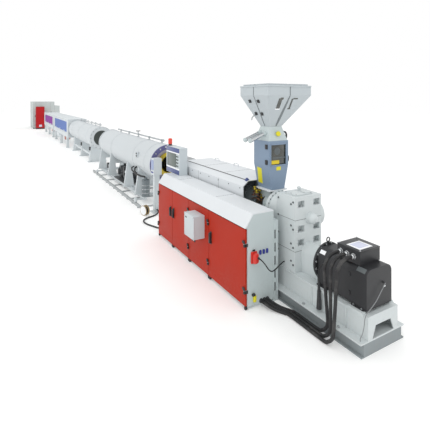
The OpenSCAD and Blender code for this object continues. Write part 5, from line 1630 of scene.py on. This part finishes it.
# %% Haul-offs
HAUL_STARTS = (17.3, 23.45)
HAUL_LEN, HAUL_HALF = 5.9, 0.45
GUARD_LOW, GUARD_HIGH, GUARD_INSET = 0.76, 1.384, 0.42
BAR_HIGH, POST_WIDE, SEAM_OUT = 0.045, 0.05, HAUL_HALF + 0.0012
TRACK_INSET, TRACK_R, PAD_COUNT = 0.5, 0.095, 44
for count, haul in enumerate(HAUL_STARTS, start=1):
    near, far = haul + GUARD_INSET, haul + HAUL_LEN - GUARD_INSET
    strips = []
    for side in (-1, 1):
        y0, y1 = sorted((side * (HAUL_HALF - 0.012), side * (HAUL_HALF - 0.032)))
        strips += [(near, far, y0, y1, low, low + BAR_HIGH) for low in (GUARD_LOW, GUARD_HIGH - BAR_HIGH)]
        strips += [(s, s + POST_WIDE, y0, y1, GUARD_LOW + BAR_HIGH + 0.001, GUARD_HIGH - BAR_HIGH - 0.001)
                   for s in (near, far - POST_WIDE)]
    strips += [(end, end + 0.02, -HAUL_HALF + 0.06, HAUL_HALF - 0.06, 1.2, GUARD_HIGH)
               for end in (haul + 0.005, haul + HAUL_LEN - 0.025)]
    boxes_piece("haul_frames_%d" % count, strips, own("frame_white"), 0.003)
    thirds = (haul + HAUL_LEN / 3, haul + HAUL_LEN * 2 / 3)
    seams = [(s - 0.002, s + 0.002, -SEAM_OUT, SEAM_OUT, 1.388, 1.4812) for s in thirds]
    seams += [(s - 0.0015, s + 0.0015, -SEAM_OUT, SEAM_OUT, 0.566, 0.757) for s in thirds]
    boxes_piece("haul_seams_%d" % count, seams, (seam_dark, "frame_white"), 0.0)
    screws = [((at(haul + 0.25 + 0.6 * k), side * HAUL_HALF, 1.432), (0, side, 0)) for k in range(10)
              for side in (-1, 1)]
    bolt_piece("haul_screws_%d" % count, screws, 0.009, (seam_dark, "frame_white"))
    grips = bmesh.new()
    for s in (near + 0.85, (near + far) / 2, far - 0.85):
        add_bow(grips, s, (-0.427, 0.86), DOORSIDE, 0.12, 0.02, (0, 0.043, 0.058), 0.011)
    make_piece("haul_grips_%d" % count, grips, own("frame_white"))
    pads = []
    first = haul + TRACK_INSET + TRACK_R
    pitch = (HAUL_LEN - 2 * (TRACK_INSET + TRACK_R)) / (PAD_COUNT - 1)
    for middle, way in ((1.289, -1), (0.711, 1)):
        pads += [((at(first + pitch * k), 0, middle + way * 0.096), (0, 0, way))
                 for k in range(PAD_COUNT)]
    pad_piece("haul_pads_%d" % count, pads, (0.075, 0.22, 0.018), own("track_rubber"))
    drive = bmesh.new()
    s = haul + 1.45
    add_turned(drive, (at(s), -0.2, 0.42), DOWNSTREAM,
               [(0.05, 0), (0.09, 0.01), (0.1, 0.03), (0.1, 0.3), (0.12, 0.31), (0.12, 0.36),
                (0.09, 0.37)], 28)
    add_box(drive, s + 0.36, s + 0.62, -0.33, -0.07, 0.29, 0.562, 0.02)
    add_box(drive, s + 0.1, s + 0.24, -0.26, -0.14, 0.5, 0.562, 0.01)
    make_piece("haul_drive_%d" % count, drive, (drive_red, "frame_white"))
    boxes_piece("haul_covers_%d" % count, [(haul + 3.4, haul + 4.6, -0.43, -0.39, 0.3, 0.56)],
                own("frame_white"), 0.01)
print("haul-offs dressed:", len(HAUL_STARTS))

# %% [markdown]
# The saw and its red cabinet close the line. They get panel seams, louvres, handles, a square frame
# round the saw's way in and a blank pale patch. Most of these are thin boxes on an upstream face, so
# one small function gives their corners.

# %% Saw and its cabinet


def on_face(station, proud, y0, y1, z0, z1):
    """Corners of a box that stands proud of an upstream face and is sunk 2 mm into it."""
    return (station - proud, station + 0.002, y0, y1, z0, z1)


SAW_NEAR, SAW_FAR = 32.6, 35.8
front_seams = [on_face(SAW_NEAR, 0.0015, y - 0.004, y + 0.004, 0.09, top)
               for y, top in ((-0.82, 2.3), (-0.24, 0.76), (0.3, 2.3), (0.636, 1.95))]
front_seams.append(on_face(SAW_NEAR, 0.0015, -1.05, 1.05, 0.3, 0.308))
side_seams = [(s - 0.004, s + 0.004, -1.0615, -1.059, 0.09, 2.29) for s in (33.4, 34.2, 35.0)]
boxes_piece("saw_seams", front_seams + side_seams, (seam_dark, "saw_grey"), 0.0)
boxes_piece("saw_foot_pads",
            [(s - 0.02, s + 0.22, y - 0.02, y + 0.22, 0.0, 0.058)
             for s in (SAW_NEAR + 0.08, SAW_FAR - 0.28) for y in (-1.02, 0.82)], DARK_FITTING, 0.006)
slats = [((at(SAW_NEAR - 0.004), 0.46, 0.42 + 0.05 * k), UPSTREAM) for k in range(7)]
pad_piece("saw_louvres", slats, (0.022, 0.26, 0.014), own("saw_grey"))
boxes_piece("saw_door_handles", [on_face(SAW_NEAR, 0.03, -0.88, -0.85, 1.0, 1.16),
                                 on_face(SAW_NEAR, 0.03, 0.35, 0.38, 1.3, 1.46)], DARK_FITTING, 0.006)
WAY_HALF, WAY_RIM = 0.23, 0.262
way_frame = []
for side in (-1, 1):
    low, high = sorted((side * WAY_HALF, side * WAY_RIM))
    way_frame.append(on_face(SAW_NEAR, 0.02, low, high, AXIS_Z - WAY_HALF, AXIS_Z + WAY_HALF))
    way_frame.append(on_face(SAW_NEAR, 0.02, -WAY_RIM, WAY_RIM, AXIS_Z + low, AXIS_Z + high))
boxes_piece("saw_way_frame", way_frame, own("rail_steel"), 0.003)
SAW_CABINET = 31.92
boxes_piece("saw_cabinet_plinth", [(SAW_CABINET - 0.006, SAW_CABINET + 0.406, -0.876, -0.204, 0.0, 0.09)],
            DARK_FITTING, 0.004)
cabinet_seams = [on_face(SAW_CABINET, 0.0015, -0.855, -0.225, z - 0.003, z + 0.003) for z in (0.12, 1.87)]
cabinet_seams += [on_face(SAW_CABINET, 0.0015, y - 0.003, y + 0.003, 0.12, 1.87)
                  for y in (-0.855, -0.225)]
boxes_piece("saw_cabinet_seams", cabinet_seams, (seam_dark, "saw_red"), 0.0)
plates_piece("saw_cabinet_patch",
             [((at(SAW_CABINET), -0.52, 0.28), UPSTREAM, (0, 1, 0), 0.22, 0.18, 0.003)],
             (lilac_plate, "hood_white"))
boxes_piece("saw_cabinet_handle", [on_face(SAW_CABINET, 0.03, -0.29, -0.26, 0.95, 1.1)],
            DARK_FITTING, 0.006)
print("saw dressed, louvre slats:", len(slats))
